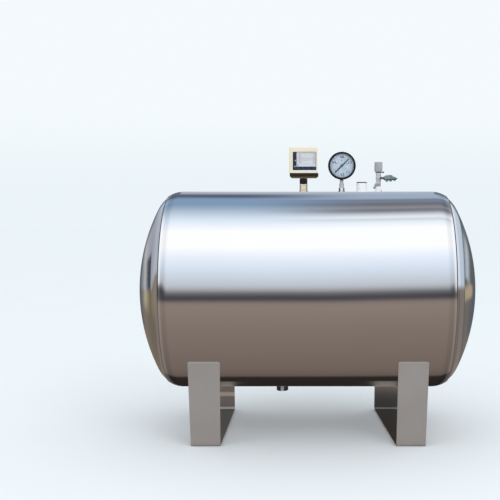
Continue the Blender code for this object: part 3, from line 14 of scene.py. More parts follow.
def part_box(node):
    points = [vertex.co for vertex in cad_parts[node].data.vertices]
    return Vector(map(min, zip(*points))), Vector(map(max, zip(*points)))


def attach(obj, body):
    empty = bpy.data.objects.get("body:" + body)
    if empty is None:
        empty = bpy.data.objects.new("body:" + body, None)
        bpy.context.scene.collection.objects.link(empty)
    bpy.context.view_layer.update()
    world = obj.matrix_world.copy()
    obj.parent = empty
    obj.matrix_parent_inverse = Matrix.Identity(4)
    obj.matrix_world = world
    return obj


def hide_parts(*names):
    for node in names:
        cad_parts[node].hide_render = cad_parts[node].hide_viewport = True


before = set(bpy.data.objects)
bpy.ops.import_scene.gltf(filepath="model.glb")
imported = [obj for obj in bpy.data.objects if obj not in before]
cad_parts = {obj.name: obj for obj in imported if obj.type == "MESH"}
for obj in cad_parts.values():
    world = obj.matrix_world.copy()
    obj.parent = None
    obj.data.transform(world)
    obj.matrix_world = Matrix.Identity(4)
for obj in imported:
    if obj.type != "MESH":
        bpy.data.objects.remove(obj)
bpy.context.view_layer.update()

# Vessel
AXIS_Z = 0.3625
TANK_RADIUS = 0.250
HALF_SHELL = 0.31475
ROLL_RADIUS = 0.0682
ROLL_ANGLE = math.radians(33.0)
ROLL_CENTRE = TANK_RADIUS - ROLL_RADIUS
SHEET = 0.002            # its thickness
FIT = 0.0003             # play between pieces that touch
CROWN_RADIUS = 0.449
RIM_ANGLE = math.radians(8.0)
ROUND = 256              # steps round the vessel

# Supports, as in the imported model
STRIP_HALF = 0.1955      # half the distance over the outside of the two plates
STRIP_SHEET = 0.003
STRIP_BEND = 0.006
STRIP_CORNER = 0.0006    # rounding of the sheet's edges
STRIP_TOP = (0.2146, 0.2892)
STRIP_FOOT = (0.2129, 0.2834)
REAR_SHIFT = {"left": 0.0085, "right": 0.0250}
# The front plates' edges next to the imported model's: inner at the top and at the foot, then outer
FRONT_EDGES = {"left": (-0.0043, -0.0023, -0.0012, -0.0012), "right": (0.0038, 0.0021, 0.0028, 0.0026)}

# Fittings along the top, and the drain below
DRAIN_X = -0.0654
SWITCH_X = -0.0101
GAUGE_X = 0.0870
SPARE_X = 0.1384
RELIEF_X = 0.1805
TOP_Z = AXIS_Z + TANK_RADIUS
BOTTOM_Z = AXIS_Z - TANK_RADIUS
SPARE_BORE = 0.0095
DRAIN_BORE = 0.0105
GAUGE_BORE = 0.0052
DIAL_START = 225.0                  # degrees clockwise from the top
DIAL_SWEEP = 270.0
UNION_FLATS = 0.0098                # half the switch nut's width
STEM_RADIUS = 0.0042
CAP_BORE = 0.0046                   # the valve's cap, lock ring and barrel
PIN_BORE = 0.0015
SPOUT_LEAN = math.radians(32.0)
FINGER_REACH = 0.0086               # from the lever's pin to the end of its finger
LEVER_PRESS = math.radians(14.0)

# Looks
SMOOTH_BELOW = math.radians(38.0)   # edges that turn by more are sharp
# The seam's line is painted shade up high and a paler painted reflection low down.
DARK_SEAM = (0.345, 0.378)          # heights between which the seam line turns dark
STEEL_SHARE = 0.73                  # of the light that falls on it, the steel gives this much back
FLOOR_HALF = 12.0
FLOOR_FAR = (0.835, 0.905, 0.945)   # the backdrop's colour where it meets the floor
CAMERA_PLACE = (0.0, -2.4854, 0.6325)
CAMERA_LENS = 69.77
CAMERA_SHIFT = (-0.115, 0.078)
END_SIGHT = (0.155, 0.985)          # line of sight to the vessel's ends: along X, and away from the camera


# Shapes

TURNS = {
    "z": Matrix.Identity(3),
    "-z": Matrix(((1, 0, 0), (0, -1, 0), (0, 0, -1))),
    "x": Matrix(((0, 0, 1), (1, 0, 0), (0, 1, 0))),
    "-x": Matrix(((0, 0, -1), (0, 1, 0), (1, 0, 0))),
    "-y": Matrix(((1, 0, 0), (0, 0, -1), (0, 1, 0))),
}


def bent(points, radius, steps=4, closed=False):
    """A polyline whose corners are rounded: each corner becomes the parabola that touches both its sides at
    the distance `radius` from it, or at just under half the shorter side."""
    points = np.asarray(points, float)
    count = len(points)
    s = np.linspace(0.0, 1.0, steps + 1)[:, None]
    out = []
    for k in range(count):
        if not closed and k in (0, count - 1):
            out.append(points[k][None])
            continue
        before, corner, after = points[k - 1], points[k], points[(k + 1) % count]
        u, v = before - corner, after - corner
        reach = min(radius, 0.49 * np.linalg.norm(u), 0.49 * np.linalg.norm(v))
        start = corner + u / np.linalg.norm(u) * reach
        end = corner + v / np.linalg.norm(v) * reach
        out.append((1 - s) ** 2 * start + 2 * s * (1 - s) * corner + s ** 2 * end)
    return np.vstack(out)


def grid_faces(index, wrap_rows):
    """Quads between neighbouring rows of an index grid that closes on itself along each row; quads with a
    point twice, at a pole, become triangles."""
    first = index if wrap_rows else index[:-1]
    second = np.roll(index, -1, axis=0) if wrap_rows else index[1:]
    quads = np.stack([first, second, np.roll(second, -1, axis=1), np.roll(first, -1, axis=1)],
                     axis=-1).reshape(-1, 4)
    upper = quads[:, 0] == quads[:, 3]
    lower = quads[:, 1] == quads[:, 2]
    whole = ~(upper | lower)
    return quads[whole].tolist() + quads[upper][:, :3].tolist() + quads[lower][:, [0, 1, 3]].tolist()


def revolve(profile, place=(0, 0, 0), axis="z", steps=96, ring=False):
    """Surface of revolution: a profile point (r, h) turned by the angle a lies at (r cos a, r sin a, h), and
    the axis is then laid along `axis`. The profile runs down its outer side; a ring's profile closes on
    itself."""
    profile = np.asarray(profile, float)
    a = np.linspace(0.0, 2 * math.pi, steps, endpoint=False)
    r, h = profile[:, :1], profile[:, 1:]
    points = np.stack([r * np.cos(a), r * np.sin(a), h + 0 * a], axis=-1).reshape(-1, 3)
    index = np.arange(len(points)).reshape(len(profile), steps)
    pole = profile[:, 0] < 1e-7
    index[pole] = index[pole][:, :1]
    turn = TURNS[axis] if isinstance(axis, str) else axis
    return points @ np.array(turn).T + np.array(place), grid_faces(index, ring)


def rod(radius, high, low, place, axis="z", steps=40):
    """A plain cylinder between two heights of its axis; most of them bore a hole."""
    return revolve([(0, high), (radius, high), (radius, low), (0, low)], place, axis, steps)


def hoop(bore, outer, high, low, corner=0.0003, steps=2):
    """A ring's profile: a rectangle with rounded corners."""
    return bent([(bore, high), (outer, high), (outer, low), (bore, low)], corner, steps, True)


def quarter(radius, across, high, steps):
    """(r, h) down a quarter ellipse from the axis: r = radius + across sin a, h = high cos a."""
    a = np.linspace(0.0, math.pi / 2, steps + 1)
    return np.column_stack([radius + across * np.sin(a), high * np.cos(a)])


def loft(loops):
    """Skin through a stack of closed loops, given as levels x points x 3, with a flat face over each end."""
    loops = np.asarray(loops, float)
    levels, count = loops.shape[:2]
    index = np.arange(levels * count).reshape(levels, count)
    return loops.reshape(-1, 3), grid_faces(index, False) + [index[0].tolist(), index[-1][::-1].tolist()]


def level(loop, height):
    """A flat loop laid at a height."""
    return np.column_stack([loop, np.full(len(loop), height)])


def rounded_loop(width, depth, radius):
    """Points round a rectangle whose corners are quarter circles."""
    a = np.linspace(0.0, math.pi / 2, 7)
    sides = ((1, 1), (-1, 1), (-1, -1), (1, -1))
    return np.vstack([
        np.stack([sx * (width / 2 - radius) + radius * np.cos(a + k * math.pi / 2),
                  sy * (depth / 2 - radius) + radius * np.sin(a + k * math.pi / 2)], axis=1)
        for k, (sx, sy) in enumerate(sides)
    ])


def rounded_ends(low, high, edge, foot, steps):
    """Insets and heights of loops whose stack has quarter circles for its end edges: e (1 - sin t),
    e (1 - cos t)."""
    t = np.linspace(0.0, math.pi / 2, steps + 1)
    inset = np.concatenate([foot * (1 - np.sin(t)), edge * (1 - np.sin(t[::-1]))])
    return zip(inset, np.concatenate([low + foot * (1 - np.cos(t)), high - edge * (1 - np.cos(t[::-1]))]))


def soft_box(low, high, corner, edge, axis="z", edge_low=None):
    """Rounded box: rounded rectangles stacked along the axis, which shrink near each end."""
    low, high = np.array(low, float), np.array(high, float)
    turn = np.array(TURNS[axis])
    middle, size = (low + high) / 2, np.abs(turn.T @ (high - low))
    foot = edge if edge_low is None else edge_low
    loops = [
        level(rounded_loop(size[0] - 2 * i, size[1] - 2 * i, max(corner - i, corner * 0.15)),
              height - size[2] / 2)
        for i, height in rounded_ends(0.0, size[2], edge, foot, 5)
    ]
    points, faces = loft(loops)
    return points @ turn.T + middle, faces


def extruded(outline, low, high, edge, axis, place):
    """A flat outline given a thickness and rounded rims: near each face it shrinks towards its own inside
    along the normals of its points."""
    outline = np.asarray(outline, float)
    along = np.roll(outline, -1, axis=0) - np.roll(outline, 1, axis=0)
    normal = np.stack([along[:, 1], -along[:, 0]], axis=1) / np.linalg.norm(along, axis=1, keepdims=True)
    loops = [level(outline - normal * i, height) for i, height in rounded_ends(low, high, edge, edge, 3)]
    points, faces = loft(loops)
    return points @ np.array(TURNS[axis]).T + np.array(place), faces


def box_faces(count):
    """The faces of boxes whose eight corners follow each other, the far side's four after the near side's."""
    faces = np.array([[3, 2, 1, 0], [4, 5, 6, 7], [0, 1, 5, 4], [1, 2, 6, 5], [2, 3, 7, 6], [3, 0, 4, 7]])
    return (faces[None] + 8 * np.arange(count)[:, None, None]).reshape(-1, 4).tolist()


def cubes(low, high):
    """Many small boxes at once, from arrays of their low and high corners."""
    low, high = np.atleast_2d(low), np.atleast_2d(high)
    pick = np.array([[x, y, z] for z in (0, 1) for x, y in ((0, 0), (1, 0), (1, 1), (0, 1))])
    return np.where(pick[None], high[:, None], low[:, None]).reshape(-1, 3), box_faces(len(low))


def added(name, data):
    """A new object of the scene."""
    made = bpy.data.objects.new(name, data)
    bpy.context.scene.collection.objects.link(made)
    return made


def worked_out(obj):
    """The mesh that an object has once its text or its modifiers are worked out."""
    bpy.context.view_layer.update()
    return bpy.data.meshes.new_from_object(obj.evaluated_get(bpy.context.evaluated_depsgraph_get()))


def numerals(words, size, depth):
    """Flat text shapes that look towards -Y, each centred at its (x, y, z)."""
    shapes = []
    for text, x, y, z in words:
        curve = bpy.data.curves.new("text", "FONT")
        curve.body, curve.size, curve.extrude = text, size, depth / 2
        curve.offset = size * 0.035
        curve.align_x, curve.align_y = "CENTER", "CENTER"
        holder = added("text", curve)
        mesh = worked_out(holder)
        flat = np.zeros(len(mesh.vertices) * 3)
        mesh.vertices.foreach_get("co", flat)
        points = flat.reshape(-1, 3) @ np.array(TURNS["-y"]).T + np.array([x, y, z])
        shapes.append((points, [list(face.vertices) for face in mesh.polygons]))
        bpy.data.objects.remove(holder)
        bpy.data.meshes.remove(mesh)
    return shapes


def bead(path, side, up, radius, ripples, closed=False):
    """Weld bead: a circle carried along a path, its size swelling as |sin| so that it looks laid in
    overlapping drops. Its point (s, t) at path point p lies at p + size * (s * side + t * up)."""
    share = np.linspace(0.0, 1.0, len(path), endpoint=not closed)
    size = 1.0 + 0.16 * np.abs(np.sin(math.pi * ripples * share)) - 0.08
    if not closed:
        size = size * np.clip(np.minimum(share, 1 - share) * 30, 0.35, 1.0)
    a = np.linspace(0.0, 2 * math.pi, 10, endpoint=False)
    across = (radius * np.cos(a))[None, :, None] * np.broadcast_to(side, path.shape)[:, None]
    along = (radius * np.sin(a))[None, :, None] * np.broadcast_to(up, path.shape)[:, None]
    points = path[:, None] + size[:, None, None] * (across + along)
    if not closed:
        return loft(points)
    return points.reshape(-1, 3), grid_faces(np.arange(len(path) * 10).reshape(-1, 10), True)


def ring_bead(x, radius, thickness, ripples, sign):
    """Bead round a socket of the given radius on the vessel: at the angle a its middle lies at
    (x + r cos a, r sin a) and at the height of the vessel's skin there, AXIS_Z +- sqrt(R^2 - (r sin a)^2)."""
    a = np.linspace(0.0, 2 * math.pi, ripples * 6, endpoint=False)
    y = radius * np.sin(a)
    path = np.column_stack([x + radius * np.cos(a), y, AXIS_Z + sign * np.sqrt(TANK_RADIUS ** 2 - y ** 2)])
    side = np.column_stack([np.cos(a), np.sin(a), 0 * a])
    up = np.column_stack([0 * a, 0 * a, np.full(len(a), sign)])
    return bead(path, side, up, thickness, ripples, True)


def solid(name, shapes, look):
    """One mesh object from one or more closed shapes, doubles merged and faces turned outwards."""
    shapes = shapes if isinstance(shapes, list) else [shapes]
    points, faces, start = [], [], 0
    for shape_points, shape_faces in shapes:
        points.append(shape_points)
        faces += [[i + start for i in face] for face in shape_faces]
        start += len(shape_points)
    mesh = bpy.data.meshes.new(name)
    mesh.from_pydata(np.vstack(points).tolist(), [], faces)
    bm = bmesh.new()
    bm.from_mesh(mesh)
    bmesh.ops.delete(bm, geom=[v for v in bm.verts if not v.link_faces], context="VERTS")
    bmesh.ops.remove_doubles(bm, verts=bm.verts, dist=1e-7)
    bmesh.ops.recalc_face_normals(bm, faces=bm.faces)
    bm.to_mesh(mesh)
    bm.free()
    mesh.shade_smooth()
    mesh.set_sharp_from_angle(angle=SMOOTH_BELOW)
    mesh.materials.append(look)
    return added(name, mesh)


def piece(name, shapes, look, slot, *nodes, body="tank"):
    """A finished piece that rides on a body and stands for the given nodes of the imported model."""
    made = solid(name, shapes, look)
    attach(made, body)
    # The steel mirrors nothing but itself and the studio.
    made.visible_glossy = "vessel" in name or "head" in name
    if nodes:
        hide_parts(*nodes)
    return made


def carve(obj, tools, operation="DIFFERENCE"):
    """Cuts the tools out of a piece, or joins them to it, and fixes the result into its mesh."""
    for shape in tools:
        tool = solid("tool", shape, obj.data.materials[0])
        cutting = obj.modifiers.new("carve", "BOOLEAN")
        cutting.operation = operation
        cutting.solver = "EXACT"
        cutting.object = tool
        mesh = worked_out(obj)
        obj.modifiers.clear()
        old = obj.data
        mesh.name = old.name
        obj.data = mesh
        bpy.data.meshes.remove(old)
        spent = tool.data
        bpy.data.objects.remove(tool)
        bpy.data.meshes.remove(spent)
    obj.data.shade_smooth()
    obj.data.set_sharp_from_angle(angle=SMOOTH_BELOW)


# Shader maths

class Level:
    """A shader socket in a formula: the operators add Math nodes."""

    def __init__(self, paint, socket):
        self.paint = paint
        self.socket = socket

    def __add__(self, other):
        return self.paint.math("ADD", self, other)

    def __sub__(self, other):
        return self.paint.math("SUBTRACT", self, other)

    def __rsub__(self, other):
        return self.paint.math("SUBTRACT", other, self)

    def __mul__(self, other):
        return self.paint.math("MULTIPLY", self, other)

    def __truediv__(self, other):
        return self.paint.math("DIVIDE", self, other)

    __radd__ = __add__
    __rmul__ = __mul__


class Paint:
    """A node tree being built, for a finish or for the world."""

    def __init__(self, tree):
        self.tree = tree

    def node(self, kind, settings=None, inputs=None):
        made = self.tree.nodes.new("ShaderNode" + kind)
        for key, value in (settings or {}).items():
            if key == "stops":
                ramp = made.color_ramp.elements
                ramp[0].position, ramp[0].color = value[0][0], full(value[0][1])
                ramp.remove(ramp[1])
                for position, color in value[1:]:
                    ramp.new(position).color = full(color)
            else:
                setattr(made, key, value)
        for key, value in (inputs or {}).items():
            if isinstance(value, Level):
                value = value.socket
            if isinstance(value, bpy.types.NodeSocket):
                self.tree.links.new(value, made.inputs[key])
            else:
                made.inputs[key].default_value = value
        return made

    def math(self, operation, *values):
        made = self.node("Math", {"operation": operation}, dict(enumerate(values)))
        return Level(self, made.outputs[0])

    def between(self, value, low, high):
        """0 below `low`, 1 above `high`, smooth between."""
        made = self.node("MapRange", {"interpolation_type": "SMOOTHSTEP"}, {0: value, 1: low, 2: high})
        return Level(self, made.outputs[0])

    def within(self, value, low, high, soft):
        """1 from `low` to `high`, 0 outside."""
        return (self.between(value, low - soft, low + soft)
                * (1 - self.between(value, high - soft, high + soft)))

    def place(self, kind="Object"):
        """Coordinates as three levels."""
        axes = self.node("SeparateXYZ", inputs={0: self.node("TexCoord").outputs[kind]})
        return [Level(self, axes.outputs[k]) for k in range(3)]

    def held(self, value, low, high):
        """The value, kept from `low` to `high`."""
        return self.math("MINIMUM", self.math("MAXIMUM", value, low), high)

    def noise(self, scale, detail=2.0, stretch=(1, 1, 1), start=(0, 0, 0)):
        """Noise on Object coordinates, about 0 to 1; `stretch` multiplies the scale along each axis."""
        vector = self.node("TexCoord").outputs["Object"]
        laid = self.node("Mapping", inputs={"Vector": vector, "Scale": stretch, "Location": start})
        made = self.node("TexNoise", inputs={"Vector": laid.outputs[0], "Scale": scale, "Detail": detail})
        return Level(self, made.outputs[0])

    def blend(self, share, first, second):
        """Colour mix of two sockets or plain colours."""
        first, second = (full(c) if isinstance(c, tuple) else c for c in (first, second))
        return self.node("Mix", {"data_type": "RGBA"}, {0: share, 6: first, 7: second}).outputs[2]

    def ramp(self, value, stops):
        return self.node("ValToRGB", {"stops": stops}, {0: value}).outputs[0]


def linear(text):
    """A hex colour as linear numbers."""
    parts = [int(text[k:k + 2], 16) / 255 for k in (0, 2, 4)]
    return tuple(c / 12.92 if c <= 0.04045 else ((c + 0.055) / 1.055) ** 2.4 for c in parts)


def full(color):
    return (*color, 1.0)


def tint(color, share):
    """A colour made lighter or darker by a share."""
    return tuple(min(max(c * (1 + share), 0.0), 1.0) for c in color)


class Finish(Paint):
    """A material with one Principled shader. feed() links what changes over the surface."""

    def __init__(self, name, color, roughness, metallic=0.0, **fixed):
        self.material = bpy.data.materials.new(name)
        self.material.use_nodes = True
        super().__init__(self.material.node_tree)
        self.shader = self.tree.nodes["Principled BSDF"]
        self.color = color
        self.roughness = roughness
        self.shader.inputs["Base Color"].default_value = full(color)
        self.shader.inputs["Roughness"].default_value = roughness
        self.shader.inputs["Metallic"].default_value = metallic
        self.material.diffuse_color = full(color)
        for key, value in fixed.items():
            self.shader.inputs[key.replace("_", " ")].default_value = value

    def feed(self, key, source):
        source = source.socket if isinstance(source, Level) else source
        self.tree.links.new(source, self.shader.inputs[key])

    def bump(self, height, distance):
        made = self.node("Bump", inputs={"Height": height, "Distance": distance, "Strength": 1.0})
        self.feed("Normal", made.outputs[0])

    def finished(self, color, roughness, height, grain):
        """Links the colour, the gloss and the grain, and gives the material."""
        self.feed("Base Color", color)
        self.feed("Roughness", roughness)
        self.bump(height, grain)
        return self.material

    def mottled(self, scale, amount, rough, grain):
        """Common ground of most finishes: cloudy colour, uneven gloss and a fine grain."""
        cloud = self.noise(scale, 3.0)
        fine = self.noise(scale * 9, start=(3.1, 1.7, 5.3))
        return self.finished(self.blend(cloud, tint(self.color, -amount), tint(self.color, amount)),
                             (fine - 0.5) * (2 * rough) + self.roughness, fine, grain)


def polished_steel():
    """Mirror-polished sheet: faint lines along the rolling direction, slow waves of a rolled sheet, and a
    dull lap edge drawn as a dark joint line whose darkness is partly painted shade in the seam: near black up
    high, a paler painted reflection of the floor low down."""
    look = Finish("polished_steel", (0.72, 0.73, 0.75), 0.10, 1.0)
    x, y, z = look.place()
    lines = look.noise(260.0, 2.0, (0.05, 1.0, 1.0))
    smear = look.noise(9.0, 3.0, (0.6, 1.0, 1.0), (2.0, 0.0, 1.0))
    waves = look.noise(5.0, 1.0, (0.7, 1.0, 1.0))
    far = look.math("ABSOLUTE", x)
    # The lap edge: dull, dark painted shade above DARK_SEAM and a paler painted reflection below it.
    lip = look.within(far, 0.3489, 0.3522, 0.0004)
    clean = look.blend(smear, (0.70, 0.71, 0.73), (0.74, 0.75, 0.77))
    edge = look.blend(look.between(z, *DARK_SEAM), (0.46, 0.44, 0.42), (0.10, 0.10, 0.11))
    return look.finished(look.blend(lip, clean, edge), 0.07 + smear * 0.03 + lines * 0.03 + lip * 0.25,
                         waves * 100 + lines, 0.000003)


def head_steel():
    """Pressed head: the same polish with faint rings round its axis and a dull line beside the shell's lip
    that is painted shadow, near black up high and a paler painted reflection of the floor low down."""
    look = Finish("head_steel", (0.70, 0.71, 0.74), 0.11, 1.0)
    x, y, z = look.place()
    radius = look.math("SQRT", y * y + (z - AXIS_Z) * (z - AXIS_Z))
    rings = look.noise(9.0, 2.0, (1.0, 0.3, 0.3))
    smear = look.noise(12.0, 3.0)
    # Painted shadow of the shell's lip on the head: dark up high, a paler painted reflection low down.
    lip_shadow = look.within(radius, 0.2365, 0.2400, 0.0008)
    clean = look.blend(smear, (0.66, 0.68, 0.71), (0.72, 0.73, 0.76))
    edge = look.blend(look.between(z, *DARK_SEAM), (0.50, 0.48, 0.46), (0.16, 0.16, 0.17))
    return look.finished(look.blend(lip_shadow, clean, edge), 0.08 + smear * 0.05 + lip_shadow * 0.2,
                         rings + look.math("SINE", radius * 900) * 0.05, 0.0002)


def support_steel():
    """Plain cold-rolled sheet: satin, cloudy, with fine drawing marks down the strip."""
    look = Finish("support_steel", (0.37, 0.345, 0.33), 0.50, 0.3)
    x, y, z = look.place()
    marks = look.noise(420.0, 2.0, (1.0, 1.0, 0.04))
    cloud = look.noise(14.0, 4.0)
    ground = look.blend(cloud, (0.345, 0.310, 0.292), (0.395, 0.360, 0.342))
    # A paler band along the top edge and its weld bead: a painted highlight.
    top = look.within(z, 0.2040, 0.2100, 0.0008)
    ground = look.blend(top * 0.6, ground, (0.52, 0.49, 0.46))
    # Inside, light and shade are painted on the sheet: dark where the vessel shades it, the right one darker
    # than the left; the bends at the foot are painted bright as highlights, and on the left one a painted
    # highlight crosses the rear plate.
    right = look.between(x, -0.01, 0.01)
    height = z / 0.1
    scale = look.blend(right, look.ramp(height, [
        (0.0, (0.84, 0.78, 0.74)), (0.065, (0.78, 0.73, 0.69)), (0.09, (0.29, 0.26, 0.24)),
        (0.25, (0.34, 0.29, 0.28)), (0.375, (0.33, 0.29, 0.27)), (0.395, (0.72, 0.62, 0.53)),
        (0.485, (0.76, 0.65, 0.55)), (0.515, (0.36, 0.30, 0.27)), (0.75, (0.36, 0.31, 0.27)),
        (1.0, (0.36, 0.33, 0.31)),
    ]), look.ramp(height, [
        (0.0, (0.42, 0.41, 0.40)), (0.05, (0.38, 0.37, 0.36)), (0.075, (0.10, 0.097, 0.092)),
        (0.30, (0.11, 0.108, 0.104)), (0.45, (0.17, 0.155, 0.14)), (0.60, (0.31, 0.265, 0.235)),
        (0.75, (0.50, 0.42, 0.37)), (1.0, (0.48, 0.42, 0.38)),
    ]))
    inside = look.between(y, 0.1860, 0.1895) * (1 - look.between(y, 0.1930, 0.1936))
    ground = look.blend(inside, ground, scale)
    # The top of the foot plate between the two plates is painted shade from the vessel above, darker under
    # the right support.
    foot_shade = look.blend(right, (0.149, 0.134, 0.110), (0.043, 0.027, 0.010))
    foot = (1 - look.between(z, 0.0032, 0.0040)) * look.between(z, 0.0022, 0.0028)
    foot = foot * look.between(y, -0.1900, -0.1885) * (1 - look.between(y, 0.1855, 0.1885))
    return look.finished(look.blend(foot, ground, foot_shade), 0.44 + cloud * 0.10 + marks * 0.08 + foot * 0.25,
                         marks + cloud * 3, 0.00003)


def plain(name, color, roughness, metallic, scale, amount, rough, grain, **fixed):
    """A finish that needs only mottling, gloss variation and grain."""
    return Finish(name, color, roughness, metallic, **fixed).mottled(scale, amount, rough, grain)


def cream_plastic():
    """Moulded cover: warm cream, glossy, paler low down and yellower at its left edge, with a fine eroded
    texture."""
    look = Finish("cream_plastic", (0.86, 0.74, 0.54), 0.32, 0.0, Coat_Weight=0.15, Coat_Roughness=0.1)
    x, y, z = look.place()
    cloud = look.noise(60.0, 2.0)
    pits = look.noise(2600.0, 1.0)
    high = look.between(z, 0.660, 0.680)
    aged = (1 - look.between(x, -0.0450, -0.0380)) * 0.5
    ground = look.blend(high * 0.7 + cloud * 0.3, (0.94, 0.88, 0.74), (0.87, 0.75, 0.56))
    return look.finished(look.blend(aged, ground, (0.76, 0.78, 0.52)), 0.28 + cloud * 0.08, pits, 0.00002)


def scale_alloy(box):
    """Satin scale plate: brushed across, with a lavender band and a dark right edge."""
    look = Finish("scale_alloy", (0.80, 0.80, 0.82), 0.42, 0.1)
    x, y, z = look.place()
    low, high = box
    share = (z - low.z) / (high.z - low.z)
    across = (x - low.x) / (high.x - low.x)
    band = look.within(share, 0.40, 0.62, 0.03)
    brushed = look.noise(900.0, 2.0, (0.03, 1.0, 1.0))
    cloud = look.noise(160.0, 2.0)
    ground = look.blend(cloud, (0.78, 0.80, 0.80), (0.86, 0.85, 0.86))
    edge = look.between(across, 0.93, 0.99)
    ground = look.blend(band * 0.6, ground, (0.68, 0.65, 0.80))
    return look.finished(look.blend(edge * 0.6, ground, (0.20, 0.20, 0.22)), 0.36 + brushed * 0.14, brushed,
                         0.00001)


def dial_paint(centre):
    """Printed dial: pale blue-grey enamel with a cleaner rim, faint pinkish clouds and a lavender upper
    left."""
    look = Finish("dial_paint", (0.60, 0.70, 0.80), 0.40)
    x, y, z = look.place()
    radius = look.math("SQRT", (x - centre.x) * (x - centre.x) + (z - centre.z) * (z - centre.z))
    rim = look.between(radius, 0.020, 0.031)
    cloud = look.noise(70.0, 1.0)
    ground = look.blend(rim, (0.62, 0.74, 0.84), (0.72, 0.80, 0.88))
    ground = look.blend(look.between(cloud, 0.5, 0.7) * 0.35, ground, (0.76, 0.74, 0.83))
    corner = look.between(centre.x - x, -0.004, 0.016) * look.between(z - centre.z, -0.006, 0.012)
    return look.finished(look.blend(corner * 0.6, ground, (0.72, 0.74, 0.90)), 0.36 + cloud * 0.08,
                         look.noise(900.0, 1.0), 0.000004)


def clear(name, color, roughness):
    """Glass or clear plastic: mostly see-through, denser towards grazing views, with faint smears."""
    look = Finish(name, color, roughness, 0.0)
    edge = look.node("Fresnel", inputs={"IOR": 1.45})
    smear = look.noise(60.0, 3.0)
    look.feed("Alpha", Level(look, edge.outputs[0]) * 0.45)
    look.feed("Roughness", roughness + smear * 0.05)
    look.material.surface_render_method = "BLENDED"
    return look.material


def green_coating():
    """Dipped plastic on the lever: grey-green, waxy, with painted shade along its underside and over its left
    end beside the valve body.
    """
    look = Finish("green_coating", (0.16, 0.24, 0.22), 0.40, 0.0, Coat_Weight=0.2)
    x, y, z = look.place()
    cloud = look.noise(240.0, 3.0)
    # Painted shade under the lever and next to the valve body.
    shade = look.math("MAXIMUM", look.within(z + (cloud - 0.5) * 0.002, 0.6420, 0.6446, 0.0006),
                      (1 - look.between(x, 0.1945, 0.1975)) * 0.8)
    ground = look.blend(look.between(cloud, 0.35, 0.65), (0.10, 0.155, 0.145), (0.26, 0.345, 0.325))
    return look.finished(look.blend(shade, ground, (0.030, 0.060, 0.062)), 0.30 + cloud * 0.2, cloud, 0.0002)


def shade_sided(name, color, roughness, centre, inner, outer, metallic, both=True, top=1.0):
    """Plated metal with painted shade down its sides (or only the right one): its plain colour within `inner`
    of its middle line, painted dark beyond `outer` and above the height `top`."""
    look = Finish(name, color, roughness, metallic)
    x, y, z = look.place()
    speckle = look.noise(500.0, 2.0)
    across = look.math("ABSOLUTE", x - centre) if both else x - centre
    # Painted shade: dark towards the sides, and above `top`.
    side_shade = look.between(across + (speckle - 0.5) * 0.001, inner, outer)
    side_shade = look.math("MAXIMUM", side_shade, look.between(z, top, top + 0.0015))
    look.feed("Base Color", look.blend(side_shade, color, (0.025, 0.026, 0.030)))
    look.feed("Roughness", speckle * 0.1 + roughness)
    look.feed("Metallic", (1 - side_shade) * metallic)
    look.bump(speckle, 0.00003)
    return look.material


def spare_steel():
    """Turned socket, bright and satin, near black over the top of its mouth, and rougher at its foot where
    the weld is.
    """
    look = Finish("spare_steel", (0.93, 0.94, 0.95), 0.5, 0.0)
    x, y, z = look.place()
    speckle = look.noise(420.0, 2.0)
    mouth = look.between(z + (speckle - 0.5) * 0.0012, 0.6340, 0.6347)
    foot = 1 - look.between(z + (speckle - 0.5) * 0.001, 0.6128, 0.6140)
    return look.finished(look.blend(mouth, (0.97, 0.98, 0.985), (0.045, 0.04, 0.038)),
                         0.42 + speckle * 0.12 + foot * 0.1, speckle, 0.00002)


def valve_metal():
    """Cast valve body, dull nickel, darker towards its foot, with painted shade down its right side and, near
    black, beside the lever.
    """
    look = Finish("valve_metal", (0.70, 0.71, 0.72), 0.34, 0.35)
    x, y, z = look.place()
    cloud = look.noise(240.0, 3.0)
    # Painted shade beside the lever, near black.
    lever_shade = look.between(x, RELIEF_X + 0.0015, RELIEF_X + 0.0045) * look.within(z, 0.6370, 0.6495, 0.0010)
    lower = 1 - look.between(z, 0.6300, 0.6345)
    ground = look.blend(cloud, (0.44, 0.45, 0.46), (0.88, 0.89, 0.90))
    ground = look.blend(lower * 0.45, ground, (0.16, 0.16, 0.165))
    # Painted shade down the right side.
    ground = look.blend(look.between(x, RELIEF_X + 0.0035, RELIEF_X + 0.0055) * 0.75, ground,
                        (0.07, 0.07, 0.075))
    return look.finished(look.blend(lever_shade * 0.85, ground, (0.04, 0.045, 0.05)),
                         0.26 + cloud * 0.16 + lever_shade * 0.2, cloud, 0.00005)


def plinth_metal():
    """Painted base of the switch: brown-black, paler brown on its lower bevel."""
    look = Finish("plinth_metal", (0.020, 0.014, 0.007), 0.45, 0.0)
    look.shader.inputs["Specular IOR Level"].default_value = 0.3
    x, y, z = look.place()
    cloud = look.noise(260.0, 3.0)
    pale_bevel = 1 - look.between(z + (cloud - 0.5) * 0.002, 0.6492, 0.6508)
    ground = look.blend(cloud, (0.010, 0.008, 0.006), (0.045, 0.030, 0.010))
    return look.finished(look.blend(pale_bevel * 0.8, ground, (0.16, 0.12, 0.075)), 0.38 + cloud * 0.2, cloud,
                         0.0001)


STEEL = polished_steel()
HEAD = head_steel()
SUPPORT = support_steel()
PLATED = plain("plated_metal", (0.70, 0.71, 0.72), 0.16, 1.0, 150.0, 0.04, 0.04, 0.000006)
BRASS = plain("brass", (0.82, 0.66, 0.42), 0.28, 1.0, 150.0, 0.08, 0.08, 0.00001)
INNER_BRASS = plain("movement_brass", (0.76, 0.58, 0.30), 0.34, 1.0, 220.0, 0.08, 0.08, 0.00001)
